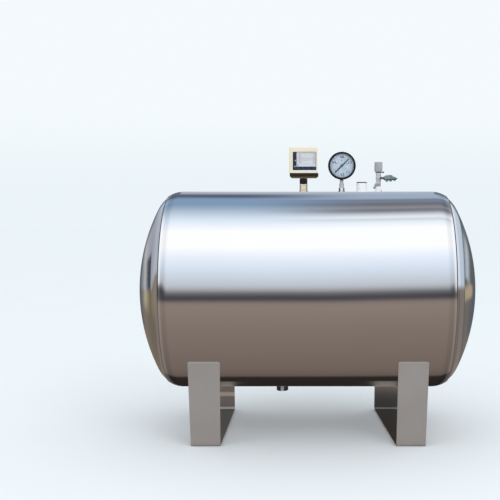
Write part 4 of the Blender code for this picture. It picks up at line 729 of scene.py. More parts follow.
# The switch socket's brass is painted dark down both sides as shade.
SOCKET_BRASS = shade_sided("socket_brass", (0.92, 0.80, 0.60), 0.36, SWITCH_X, 0.0062, 0.0088, 0.35)
BLACK = plain("black_paint", (0.008, 0.012, 0.022), 0.50, 0.0, 160.0, 0.20, 0.08, 0.00002,
              Specular_IOR_Level=0.12)
DARK = plain("dark_metal", (0.035, 0.024, 0.012), 0.42, 0.3, 130.0, 0.30, 0.10, 0.00006)
NUT = plain("nut_metal", (0.030, 0.024, 0.018), 0.36, 0.6, 150.0, 0.30, 0.10, 0.00003)
ZINC = plain("zinc_plate", (0.62, 0.63, 0.64), 0.36, 1.0, 90.0, 0.10, 0.10, 0.00002)
GREY = plain("grey_plastic", (0.42, 0.43, 0.44), 0.46, 0.0, 180.0, 0.06, 0.08, 0.00003)
CREAM = cream_plastic()
NAVY = plain("navy_panel", (0.010, 0.019, 0.066), 0.50, 0.0, 200.0, 0.20, 0.08, 0.00002,
             Specular_IOR_Level=0.2)
TRIM = plain("pale_trim", (0.74, 0.82, 0.96), 0.35, 0.0, 260.0, 0.05, 0.05, 0.00001)
INK = plain("dial_ink", (0.035, 0.045, 0.07), 0.50, 0.0, 400.0, 0.15, 0.05, 0.000004)
NEEDLE = plain("needle_enamel", (0.035, 0.055, 0.09), 0.40, 0.0, 300.0, 0.15, 0.06, 0.000004)
GREEN = green_coating()
GLASS = clear("gauge_glass", (0.85, 0.92, 0.97), 0.02)
CLEAR = clear("clear_plastic", (0.85, 0.88, 0.92), 0.05)
PLINTH = plinth_metal()
SPARE = spare_steel()
VALVE = valve_metal()
# Painted shade down the sides of these ports and the stem, and on the nipple's right side only; above `top`
# the stem is painted dark as the bezel's shadow.
GAUGE_PORT = shade_sided("gauge_port_plating", (0.86, 0.86, 0.87), 0.34, GAUGE_X, 0.0030, 0.0046, 0.2)
GAUGE_STEM = shade_sided("gauge_stem_plating", (0.70, 0.71, 0.73), 0.34, GAUGE_X, 0.0034, 0.0048, 0.3, top=0.6398)
DRAIN_PORT = shade_sided("drain_port_plating", (0.60, 0.62, 0.63), 0.4, DRAIN_X, 0.0020, 0.0055, 0.2)
NIPPLE = shade_sided("nipple_plating", (0.95, 0.95, 0.96), 0.4, RELIEF_X, 0.0062, 0.0078, 0.1, both=False)


# Vessel

def arc_points(centre_r, centre_h, radius, start, end, steps):
    """(r, h) along a circle, the angle from the radial direction towards the axis' far end."""
    a = np.linspace(start, end, steps + 1)
    return np.column_stack([centre_r + radius * np.cos(a), centre_h + radius * np.sin(a)])


def make_vessel():
    """Shell: radius R along its straight part, then R falls as the end rolls in, r = c + k cos a,
    x = L/2 + k sin a. The head's knuckle follows the same circle inside it, then the crown, r = C sin b,
    x = x0 + C cos b."""
    def skin(shrink):
        roll = ROLL_RADIUS - shrink
        right = arc_points(ROLL_CENTRE, HALF_SHELL, roll, ROLL_ANGLE, 0.0, 20)
        straight = np.column_stack([np.full(47, TANK_RADIUS - shrink),
                                    np.linspace(HALF_SHELL, -HALF_SHELL, 49)[1:-1]])
        left = right[::-1] * (1, -1)
        return np.vstack([right, straight, left])

    outer, inner = skin(0.0), skin(SHEET)
    edge = bent([outer[-2], outer[-1], inner[-1], inner[-2]], 0.0007, 4)[1:-1]
    loop = np.vstack([outer[1:-1], edge, inner[1:-1][::-1], (edge * (1, -1))[::-1]])
    shell = piece("vessel_shell", revolve(loop, (0, 0, AXIS_Z), "x", ROUND, True), STEEL, "polished_steel",
                  "tank_shell")
    carve(shell, [rod(SPARE_BORE, 0.05, -0.05, (SPARE_X, 0, TOP_Z), "z", 48),
                  rod(DRAIN_BORE, 0.05, -0.05, (DRAIN_X, 0, BOTTOM_Z), "z", 48)])

    knuckle = ROLL_RADIUS - SHEET - FIT
    crown_x = HALF_SHELL - math.sqrt((CROWN_RADIUS - knuckle) ** 2 - ROLL_CENTRE ** 2)
    meet = math.atan2(ROLL_CENTRE, HALF_SHELL - crown_x)

    def head(shrink):
        b = np.linspace(0.0, meet, 49)
        crown = np.column_stack([(CROWN_RADIUS - shrink) * np.sin(b),
                                 crown_x + (CROWN_RADIUS - shrink) * np.cos(b)])
        bend = arc_points(ROLL_CENTRE, HALF_SHELL, knuckle - shrink, math.pi / 2 - meet, RIM_ANGLE, 30)[1:]
        return np.vstack([crown, bend])

    outer, inner = head(0.0), head(SHEET)
    tip = outer[0, 1]
    nub = bent([(0, tip + 0.0022), (0.0028, tip + 0.0022), (0.0035, tip + 0.0012), (0.0035, tip)], 0.0006, 3)
    profile = np.vstack([nub, outer[outer[:, 0] > 0.004], inner[::-1]])
    for side, axis in (("right", "x"), ("left", "-x")):
        piece(f"pressed_head_{side}", revolve(profile, (0, 0, AXIS_Z), axis, ROUND), HEAD, "polished_steel",
              f"head_{side}")


def make_supports():
    """Folded strip: a rounded rectangular section carried down the front plate, under the foot and up the
    rear plate. Its width changes along the path with the height, and it shifts towards the middle with the
    depth."""
    def top(y):
        """Height of the vessel's underside at the depth y."""
        return AXIS_Z - math.sqrt(TANK_RADIUS ** 2 - y * y) - FIT

    def rows(inset):
        """(y, z) along one face of the sheet."""
        half = STRIP_HALF - inset
        bend = STRIP_BEND - inset
        a = np.linspace(0.0, -math.pi / 2, 11)
        down = np.column_stack([np.full(30, half), np.linspace(top(half), STRIP_BEND, 31)[:-1]])
        fold = np.column_stack([half - bend + bend * np.cos(a), STRIP_BEND + bend * np.sin(a)])
        flat = np.column_stack([np.linspace(half - bend, -(half - bend), 41)[1:-1], np.full(39, inset)])
        front = np.vstack([down, fold]) * (-1, 1)
        return np.vstack([front, flat * (-1, 1), (front * (-1, 1))[::-1]])

    outer, inner = rows(0.0), rows(STRIP_SHEET)
    share = np.clip(outer[:, 1] / top(STRIP_HALF), 0.0, 1.0)
    depth = (outer[:, 0] + STRIP_HALF) / (2 * STRIP_HALF)
    # Section: u across the strip's width, v through the sheet.
    u, v = bent([(0, 0), (1, 0), (1, 1), (0, 1)], 0.25, 4, True).T[:, None]

    def edge_line(k, top_change, foot_change):
        """Distance of one edge from the vessel's middle, row by row."""
        plain_edge = STRIP_FOOT[k] + (STRIP_TOP[k] - STRIP_FOOT[k]) * share
        return plain_edge + (1 - depth) * (foot_change + (top_change - foot_change) * share)

    for side, sign in (("left", -1), ("right", 1)):
        inner_top, inner_foot, outer_top, outer_foot = FRONT_EDGES[side]
        start = edge_line(0, inner_top, inner_foot)
        width = (edge_line(1, outer_top, outer_foot) - start)[:, None]
        # The rounding at the sheet's edges, a quarter of u on either side, doesn't grow with the width.
        far_side = np.where(u > 0.74, width - (1 - u) * 4 * STRIP_CORNER, u * width)
        across = np.where(u < 0.26, u * 4 * STRIP_CORNER, far_side)
        x = sign * (start[:, None] + across - (REAR_SHIFT[side] * depth)[:, None])
        y = outer[:, :1] + (inner[:, :1] - outer[:, :1]) * v
        z = outer[:, 1:] + (inner[:, 1:] - outer[:, 1:]) * v
        shapes = [loft(np.stack([x, y, z], axis=-1))]
        for y_out, front in ((-STRIP_HALF, 1), (STRIP_HALF, 0)):
            line = np.linspace(STRIP_TOP[0] + inner_top * front + 0.002,
                               STRIP_TOP[1] + outer_top * front - 0.002, 140)
            path = np.column_stack([sign * (line - REAR_SHIFT[side] * (1 - front)),
                                    np.full(140, y_out * 1.003), np.full(140, top(STRIP_HALF) + 0.0008)])
            shapes.append(bead(path, (0, 1, 0), (0, 0, 1), 0.0016, 34))
        piece(f"support_strip_{side}", shapes, SUPPORT, "support_steel", f"support_{side}")


def threaded(outer, bore, height, deep, chamfer):
    """Socket profile: outside wall, chamfered mouth, and a bore whose radius steps in and out along the
    pitch."""
    pitch, cut = 0.0018, 0.0006
    turns = int((height + deep) / pitch) - 1
    h = height - chamfer - pitch * 0.5 * np.arange(2 * turns + 1)
    r = bore + cut * (np.arange(2 * turns + 1) % 2)
    wall = bent([(bore + chamfer, height), (outer - chamfer, height), (outer, height - chamfer),
                 (outer, -deep)], 0.0005, 3)
    return np.vstack([wall, [(bore, -deep)], np.column_stack([r, h])[::-1]])


def make_sockets():
    """Spare and drain sockets with their threads and weld beads, and the small sockets under the fittings."""
    gauge = [(GAUGE_BORE, 0.0095), (0.0067, 0.0095), (0.0073, 0.0089), (0.0073, -0.0004),
             (GAUGE_BORE, -0.0004)]
    switch = [(0.0046, 0.0188), (0.0090, 0.0188), (0.0098, 0.0180), (0.0098, 0.0125), (0.0094, 0.0120),
              (0.0094, 0.0112), (0.0098, 0.0107), (0.0098, -0.0004), (0.0046, -0.0004)]
    relief = [(0.0042, 0.0185), (0.0042, 0.0130), (0.0052, 0.0130), (0.0064, 0.0110), (0.0085, -0.0004),
              (0.0026, -0.0004), (0.0026, 0.0185)]
    for name, x, profile, steps, weld, look, slot, node in (
        ("spare_port", SPARE_X, threaded(0.0135, SPARE_BORE, 0.0245, 0.0010, 0.0012), 96,
         (0.0138, 0.0014, 26), SPARE, "polished_steel", "spare_socket"),
        ("drain_port", DRAIN_X, threaded(0.0151, DRAIN_BORE, 0.0150, 0.0012, 0.0012), 96,
         (0.0153, 0.0014, 26), DRAIN_PORT, "polished_steel", "drain_socket"),
        ("gauge_port", GAUGE_X, bent(gauge, 0.0003, 2, True), 72, (0.0076, 0.0012, 18), GAUGE_PORT,
         "polished_steel", "gauge_socket"),
        ("switch_port", SWITCH_X, bent(switch, 0.0003, 2, True), 72, (0.0100, 0.0012, 20), SOCKET_BRASS,
         "brass", "switch_socket"),
        ("relief_port", RELIEF_X, bent(relief, 0.0003, 2, True), 72, (0.0086, 0.0011, 18), NIPPLE,
         "polished_steel", "relief_nipple"),
    ):
        base, axis, sign = (BOTTOM_Z, "-z", -1) if x == DRAIN_X else (TOP_Z, "z", 1)
        piece(name, [revolve(profile, (x, 0, base), axis, steps, True), ring_bead(x, *weld, sign)], look,
              slot, node)


# Dial gauge

def make_gauge():
    """Turned case, bezel and glass; a printed dial with ticks and numbers on a circle; a tapered needle."""
    low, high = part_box("gauge_bezel")
    radius, deep = (high.x - low.x) / 2, low.y - high.y
    centre = Vector((GAUGE_X, 0.0, (low.z + high.z) / 2))
    lip = radius - 0.0050
    ring = bent([(lip, -0.0015), (lip, -0.0002), (radius - 0.0010, 0.0), (radius, -0.0012), (radius, deep),
                 (radius - 0.0015, deep), (radius - 0.0015, -0.0015)], 0.0006, 5, True)
    piece("gauge_ring", revolve(ring, (centre.x, low.y, centre.z), "-y", 128, True), BLACK, "black_paint",
          "gauge_bezel")

    low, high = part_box("gauge_case")
    radius, deep = (high.x - low.x) / 2, high.y - low.y
    inside = radius - 0.0012
    cup = np.vstack([
        bent([(inside, 0.0006), (radius, 0.0006), (radius, deep), (0.0, deep)], 0.0022, 6),
        [(0.0, deep - 0.0012), (inside - 0.001, deep - 0.0012), (inside, deep - 0.0022)],
    ]) * (1, -1)
    case = piece("gauge_body", revolve(cup, (centre.x, low.y, centre.z), "-y", 128, True), BLACK,
                 "black_paint", "gauge_case")
    carve(case, [rod(GAUGE_BORE, 0.02, -0.02, (centre.x, 0, low.z))])

    low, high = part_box("gauge_lens")
    radius, deep = (high.x - low.x) / 2, low.y - high.y + 0.0002
    r = np.linspace(0.0, radius - 0.0003, 14)
    dome = np.column_stack([r, 0.0004 * (1 - (r / radius) ** 2)])
    glass = np.vstack([dome, [(radius, -0.0004), (radius, deep), (0.0, deep)]]) - (0, 0.0004)
    piece("gauge_window", revolve(glass, (centre.x, low.y, centre.z), "-y"), GLASS, "gauge_glass",
          "gauge_lens")

    low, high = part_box("gauge_dial")
    radius = (high.x - low.x) / 2
    disc = hoop(0.0022, radius, 0.0, low.y - high.y, 0.0002)
    piece("gauge_face", revolve(disc, (centre.x, low.y, centre.z), "-y", ring=True), dial_paint(centre),
          "dial_paint", "gauge_dial")

    # Ticks at equal angles over the dial's sweep; every fifth and tenth one is longer and wider.
    face = low.y - 0.00004
    step = np.arange(41)
    angle = np.radians(DIAL_START + DIAL_SWEEP * step / 40)[:, None]
    length = np.where(step % 10 == 0, 0.0036, np.where(step % 5 == 0, 0.0028, 0.0018))[:, None]
    half = np.where(step % 10 == 0, 0.00038, np.where(step % 5 == 0, 0.00026, 0.00014))[:, None]
    across = np.array([-1, 1, 1, -1]) * half
    reach = radius - 0.0022 - np.array([0, 0, 1, 1]) * length
    x = centre.x + reach * np.sin(angle) + across * np.cos(angle)
    z = centre.z + reach * np.cos(angle) - across * np.sin(angle)
    sheet = np.stack([x, np.full(x.shape, face), z], axis=-1)
    ticks = np.concatenate([sheet, sheet + (0, 0.0001, 0)], axis=1).reshape(-1, 3), box_faces(len(step))
    large, small = [], []
    for k, label in enumerate(("0", "0.4", "0.8", "1.2", "1.6")):
        a = math.radians(DIAL_START + DIAL_SWEEP * k / 4)
        for group, word, r in ((large, label, 0.0216), (small, str(4 * k), 0.0130)):
            group.append((word, centre.x + r * math.sin(a), face + 0.00003, centre.z + r * math.cos(a)))
    large.append(("2.5", centre.x + 0.0015, face + 0.00003, centre.z - 0.0222))
    line = revolve(hoop(radius - 0.0020, radius - 0.0016, 0.0, -0.0001, 0.00002, 1),
                   (centre.x, face, centre.z), "-y", ring=True)
    piece("gauge_print", [ticks, line] + numerals(large, 0.0074, 0.0001) + numerals(small, 0.0042, 0.0001),
          INK, "black_paint")

    # Needle, at the scale's start: its half width falls from the hub to the tip, and its tail is a slim bar.
    low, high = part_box("gauge_pointer")
    plane = high.y - 0.0003
    start = math.radians(DIAL_START)
    along = np.array([math.sin(start), 0.0, math.cos(start)])
    side = np.array([-along[2], 0.0, along[0]])
    place = np.array([-0.0240, -0.0225, -0.0100, 0.0, 0.0060, 0.0225, 0.0245])[:, None, None]
    wide = np.array([0.0006, 0.00115, 0.00125, 0.0018, 0.00165, 0.00125, 0.00040])[:, None, None]
    diamond = np.array([(-1, 0), (-0.5, -1), (0.5, -1), (1, 0), (0.5, 1), (-0.5, 1)])
    rows = ((centre.x, plane, centre.z) + place * along + wide * diamond[:, :1] * side
            + diamond[:, 1:] * (0, 0.0003, 0))
    hub = bent([(0.0, 0.0022), (0.0020, 0.0020), (0.0028, 0.0010), (0.0028, 0.0), (0.0, 0.0)], 0.0006, 4)
    piece("gauge_needle", [loft(rows), revolve(hub, (centre.x, plane + 0.0001, centre.z), "-y", 48)], NEEDLE,
          "black_paint", "gauge_pointer", body="gauge_pointer_body")

    # Dial screws: domed heads with a slot.
    for side_name, x in (("left", centre.x - 0.0137), ("right", centre.x + 0.0137)):
        low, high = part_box(f"gauge_dial_screw_{side_name}")
        z = (low.z + high.z) / 2
        end = 0.0009 - (high.y - low.y)
        profile = np.vstack([quarter(0.0, 0.0022, 0.0009, 6), [(0.0012, 0.0), (0.0012, end), (0.0, end)]])
        screw = piece(f"dial_screw_{side_name}", revolve(profile, (x, low.y + 0.0009, z), "-y", 32), PLATED,
                      "plated_metal", f"gauge_dial_screw_{side_name}")
        carve(screw,
              [cubes((x - 0.004, low.y - 0.001, z - 0.00035), (x + 0.004, low.y + 0.0004, z + 0.00035))])


# Pressure switch

def make_switch():
    """Cover, base and nut as stacked rounded rectangles or hexagons; panel details behind the window."""
    low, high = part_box("switch_cover")
    wall = 0.0016
    cover = piece("switch_hood", soft_box(low, high, 0.0030, 0.0024, edge_low=0.0002), CREAM, "cream_plastic",
                  "switch_cover")
    window_low, window_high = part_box("switch_window")
    carve(cover, [
        soft_box((low.x + wall, low.y + wall, low.z - 0.02), (high.x - wall, high.y - wall, high.z - wall),
                 0.0018, 0.0012),
        soft_box((window_low.x - FIT, low.y - 0.004, window_low.z - FIT),
                 (window_high.x + FIT, low.y + 0.008, window_high.z + FIT), 0.0012, 0.0001, "-y"),
    ])

    # Base: vertical walls, then a chamfer to a smaller foot.
    low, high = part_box("switch_base")
    width, depth, tall = high.x - low.x, high.y - low.y, high.z - low.z
    middle = (low + high) / 2
    levels = [(0.0, 0.0052), (0.0004, 0.0044), (0.0034, 0.0014), (0.0042, 0.0002), (0.0046, 0.0),
              (tall - 0.0006, 0.0), (tall, 0.0006)]
    loops = [level(rounded_loop(width - 2 * i, depth - 2 * i, 0.0034) + (middle.x, middle.y), low.z + z)
             for z, i in levels]
    base = piece("switch_plinth", loft(loops), PLINTH, "dark_metal", "switch_base")
    floor = low.z + 0.003 - high.z
    carve(base, [revolve([(0, 0.02), (0.0116, 0.02), (0.0116, floor), (0.0045, floor), (0.0045, -0.02),
                          (0, -0.02)], (SWITCH_X, 0, high.z), "z", 64)])

    # Nut: a hexagon cut by two cones, so that its corners run out towards both ends.
    low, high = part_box("switch_nut")
    nut_low, nut_high = high.z - 0.0178, high.z - 0.0033
    a = np.linspace(0.0, 2 * math.pi, 72, endpoint=False)
    hexagon = UNION_FLATS / np.cos((a + math.pi / 6) % (math.pi / 3) - math.pi / 6)
    rows = []
    for z, limit in ((nut_low, 1.0), (nut_low + 0.0012, 1.16), (nut_high - 0.0012, 1.16), (nut_high, 1.0)):
        r = np.minimum(hexagon, UNION_FLATS * limit)
        rows.append(level(np.column_stack([SWITCH_X + r * np.cos(a), r * np.sin(a)]), z))
    nut = piece("switch_union", loft(rows), NUT, "dark_metal", "switch_nut")
    place = (SWITCH_X, 0, 0)
    carve(nut, [rod(STEM_RADIUS, nut_low + 0.001, low.z, place),
                rod(STEM_RADIUS, high.z, nut_high - 0.001, place)],
          "UNION")
    carve(nut, [rod(0.0030, high.z + 0.01, low.z - 0.01, place, "z", 32)])

    # Behind the window: a pale angle beside and under the scale plate, two screws, and ruled ticks on the
    # plate.
    scale_low, scale_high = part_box("switch_scale_plate")
    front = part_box("switch_panel")[0].y
    trim = [soft_box((left, front - 0.0018, base), (right, front + far, top), 0.0002, 0.0002)
            for left, right, base, top, far in (
                (-0.0250, -0.0232, 0.6758, scale_high.z - 0.0006, -0.0012),
                (-0.0250, scale_high.x - 0.0004, 0.6758, 0.6794, -0.0012),
                (-0.0284, -0.0262, 0.6757, 0.6790, 0.0002))]
    piece("switch_scale_rail", trim, TRIM, "scale_alloy")
    dome = np.vstack([quarter(0.0, 0.0016, 0.0010, 5), [(0.0, -0.0002)]])
    heads = [revolve(dome, (x, front, z), "-y", 24) for x, z in ((-0.0308, 0.6900), (-0.0316, 0.6757))]
    piece("switch_panel_screws", heads, PLATED, "plated_metal")
    z = np.linspace(scale_low.z + 0.0070, scale_high.z - 0.0045, 13)
    same = np.ones(len(z))
    long = np.where(np.arange(len(z)) % 3 == 0, 0.0060, 0.0036)

    def ruled(start, end):
        """Ticks between two sets of places across the plate."""
        return cubes(np.column_stack([start, (scale_low.y - 0.0001) * same, z - 0.00018]),
                     np.column_stack([end, (scale_low.y + 0.0001) * same, z + 0.00018]))

    left, right = (scale_low.x + 0.0064) * same, (scale_high.x - 0.0040) * same
    slot = cubes((scale_low.x + 0.0025, scale_low.y - 0.0001, scale_high.z - 0.0010),
                 (scale_high.x - 0.0025, scale_low.y + 0.0001, scale_high.z - 0.0006))
    piece("switch_scale_print", [ruled(left, left + long), ruled(right - long, right), slot], INK,
          "black_paint")


# Relief valve

# The lever's outline round its pin, in tenths of a millimetre
LEVER_EDGE = np.array([
    (30, 31), (62, 56), (100, 68), (150, 75), (195, 78), (225, 76), (248, 66), (268, 47), (300, 33),
    (335, 19), (365, 2), (384, -12), (358, -18), (338, -30), (330, -58), (318, -79), (302, -73), (284, -60),
    (266, -54), (246, -62), (228, -83), (212, -95), (196, -89), (178, -74), (158, -67), (138, -78),
    (123, -96), (108, -101), (92, -90), (73, -65), (42, -48), (18, -34), (-12, -32), (-30, -16), (-34, 4),
    (-26, 22), (-8, 33),
]) / 10000


def curve_through(points, steps):
    """Closed Catmull-Rom curve: between p1 and p2 it is the cubic with slopes (p2 - p0) / 2 and
    (p3 - p1) / 2."""
    p0, p1, p2, p3 = (np.roll(points, k, axis=0)[:, None] for k in (1, 0, -1, -2))
    t = np.linspace(0.0, 1.0, steps, endpoint=False)[None, :, None]
    square, cube = 2 * p0 - 5 * p1 + 4 * p2 - p3, 3 * p1 - p0 - 3 * p2 + p3
    return (0.5 * (2 * p1 + (p2 - p0) * t + square * t ** 2 + cube * t ** 3)).reshape(-1, 2)


def make_relief():
    """Turned cap, lock ring and body with a conical spout; a flat lever with rounded rims."""
    low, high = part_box("relief_cap")
    r, height = (high.x - low.x) / 2, high.z - low.z
    profile = np.vstack([
        [(0.0, height)], quarter(r - 0.0016, 0.0016, 0.0016, 6) + (0, height - 0.0016),
        [(r, height - 0.0040), (r, 0.0024), (r - 0.0003, 0.0020), (r - 0.0003, 0.0012), (r - 0.0010, 0.0),
         (CAP_BORE, 0.0), (CAP_BORE, height - 0.0020), (0.0, height - 0.0020)],
    ])
    piece("relief_hood", revolve(profile, (RELIEF_X, 0, low.z)), GREY, "grey_plastic", "relief_cap")

    low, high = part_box("relief_lock_ring")
    middle = (low.z + high.z) / 2
    ring = hoop(CAP_BORE, (high.x - low.x) / 2, high.z - low.z, 0.0, 0.0006, 4)
    collar = piece("relief_lock_collar", revolve(ring, (RELIEF_X, 0, low.z), ring=True), DARK, "dark_metal",
                   "relief_lock_ring")
    carve(collar, [rod(0.0014, 0.006, -0.0001, (RELIEF_X + 0.0054, 0, middle), "x", 24)])
    low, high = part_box("relief_lock_screw")
    end = high.x - low.x
    knob = np.vstack([bent([(0.0, end), (0.0019, end), (0.0019, end - 0.0030), (0.0011, end - 0.0030)],
                           0.0005, 4), [(0.0011, 0.0), (0.0, 0.0)]])
    piece("relief_lock_knob", revolve(knob, (low.x, 0, middle), "x", 40), NUT, "dark_metal",
          "relief_lock_screw")

    # Lever and its pin.
    low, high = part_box("relief_lever_pin")
    pivot = (low + high) / 2
    blade = extruded(curve_through(LEVER_EDGE, 5)[::-1], -0.0030, 0.0030, 0.0009, "-y",
                     (pivot.x, 0.0, pivot.z))
    lever = piece("relief_thumb_lever", blade, GREEN, "green_coating", "relief_lever",
                  body="relief_lever_body")
    carve(lever, [soft_box((RELIEF_X + 0.0019, -0.0013, pivot.z - 0.0008),
                           (pivot.x - 0.001, 0.0013, pivot.z + 0.0008), 0.0003, 0.0003)], "UNION")
    carve(lever, [rod(PIN_BORE, 0.006, -0.006, tuple(pivot), "-y", 32)])
    half = (high.y - low.y) / 2
    pin = bent([(0.0, half), (0.0012, half), (0.0012, -half), (0.0, -half)], 0.0003, 3)
    piece("relief_hinge_pin", revolve(pin, tuple(pivot), "-y", 32), PLATED, "plated_metal",
          "relief_lever_pin")

    # Body: barrel with a swelling chest, waist and foot; spout, ears; then its bores and the lever's window.
    foot = TOP_Z + 0.0130 + FIT
    tall = 0.0340
    outside = bent([
        (0.0, tall), (0.0065, tall), (0.0065, tall * 0.78), (0.0063, tall * 0.76), (0.0068, tall * 0.69),
        (0.0068, tall * 0.57), (0.0063, tall * 0.50), (0.0059, tall * 0.40), (0.0059, 0.0), (0.0, 0.0),
    ], 0.0014, 5)
    body = piece("relief_barrel", revolve(outside, (RELIEF_X, 0, foot)), VALVE, "plated_metal", "relief_body")
    turn = Matrix.Rotation(math.pi + SPOUT_LEAN, 3, "Y")
    root = tuple(Vector((RELIEF_X - 0.0015, 0.0, foot + 0.0098)))
    spout = bent([(0.0, 0.0185), (0.0027, 0.0185), (0.0030, 0.0170), (0.0050, 0.0), (0.0, 0.0)], 0.0005, 3)
    ear = bent([(0.0, 0.0008), (0.0030, 0.0008), (0.0030, -0.0008), (0.0, -0.0008)], 0.0003, 3)
    joined = [revolve(spout, root, turn, 64)]
    for y in (-0.0041, 0.0041):
        joined.append(revolve(ear, (pivot.x, y, pivot.z), "-y", 40))
        joined.append(soft_box((RELIEF_X + 0.0046, y - 0.0008, pivot.z - 0.0027),
                               (pivot.x, y + 0.0008, pivot.z + 0.0027), 0.0003, 0.0003))
    carve(body, joined, "UNION")
    seat = foot + 0.0090
    travel = FINGER_REACH * math.sin(LEVER_PRESS)
    middle, half = pivot.z + travel / 2, (0.0016 + travel + 0.0012) / 2
    place = (RELIEF_X, 0, 0)
    carve(body, [
        rod(CAP_BORE, foot + tall + 0.002, seat, place, "z", 64),
        rod(0.0024, seat + 0.01, seat - 0.012, place), rod(0.0045, foot + 0.0059, foot - 0.001, place),
        rod(0.0017, 0.0200, 0.0040, root, turn, 32), rod(PIN_BORE, 0.012, -0.012, tuple(pivot), "-y", 32),
        soft_box((RELIEF_X + 0.0021, -0.0019, middle - half), (RELIEF_X + 0.0126, 0.0019, middle + half),
                 0.0002, 0.0002),
    ])


def dress_inside():
    """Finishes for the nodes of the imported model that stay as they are."""
    looks = {
        "gauge_stem": GAUGE_STEM, "gauge_bourdon_tube": INNER_BRASS, "gauge_movement_frame": INNER_BRASS,
        "gauge_sector": INNER_BRASS, "gauge_pinion": INNER_BRASS, "gauge_link": INNER_BRASS,
        "switch_window": CLEAR, "switch_panel": NAVY, "switch_bellows": BRASS, "switch_chassis": ZINC,
        "switch_arm": ZINC, "switch_spring": PLATED, "switch_range_screw": PLATED, "switch_contacts": BLACK,
        "switch_scale_plate": scale_alloy(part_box("switch_scale_plate")), "relief_spindle": BRASS,
        "relief_spring": PLATED,
    }
    for name, look in looks.items():
        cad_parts[name].visible_glossy = False
        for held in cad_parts[name].material_slots:
            held.material = look


# Stage

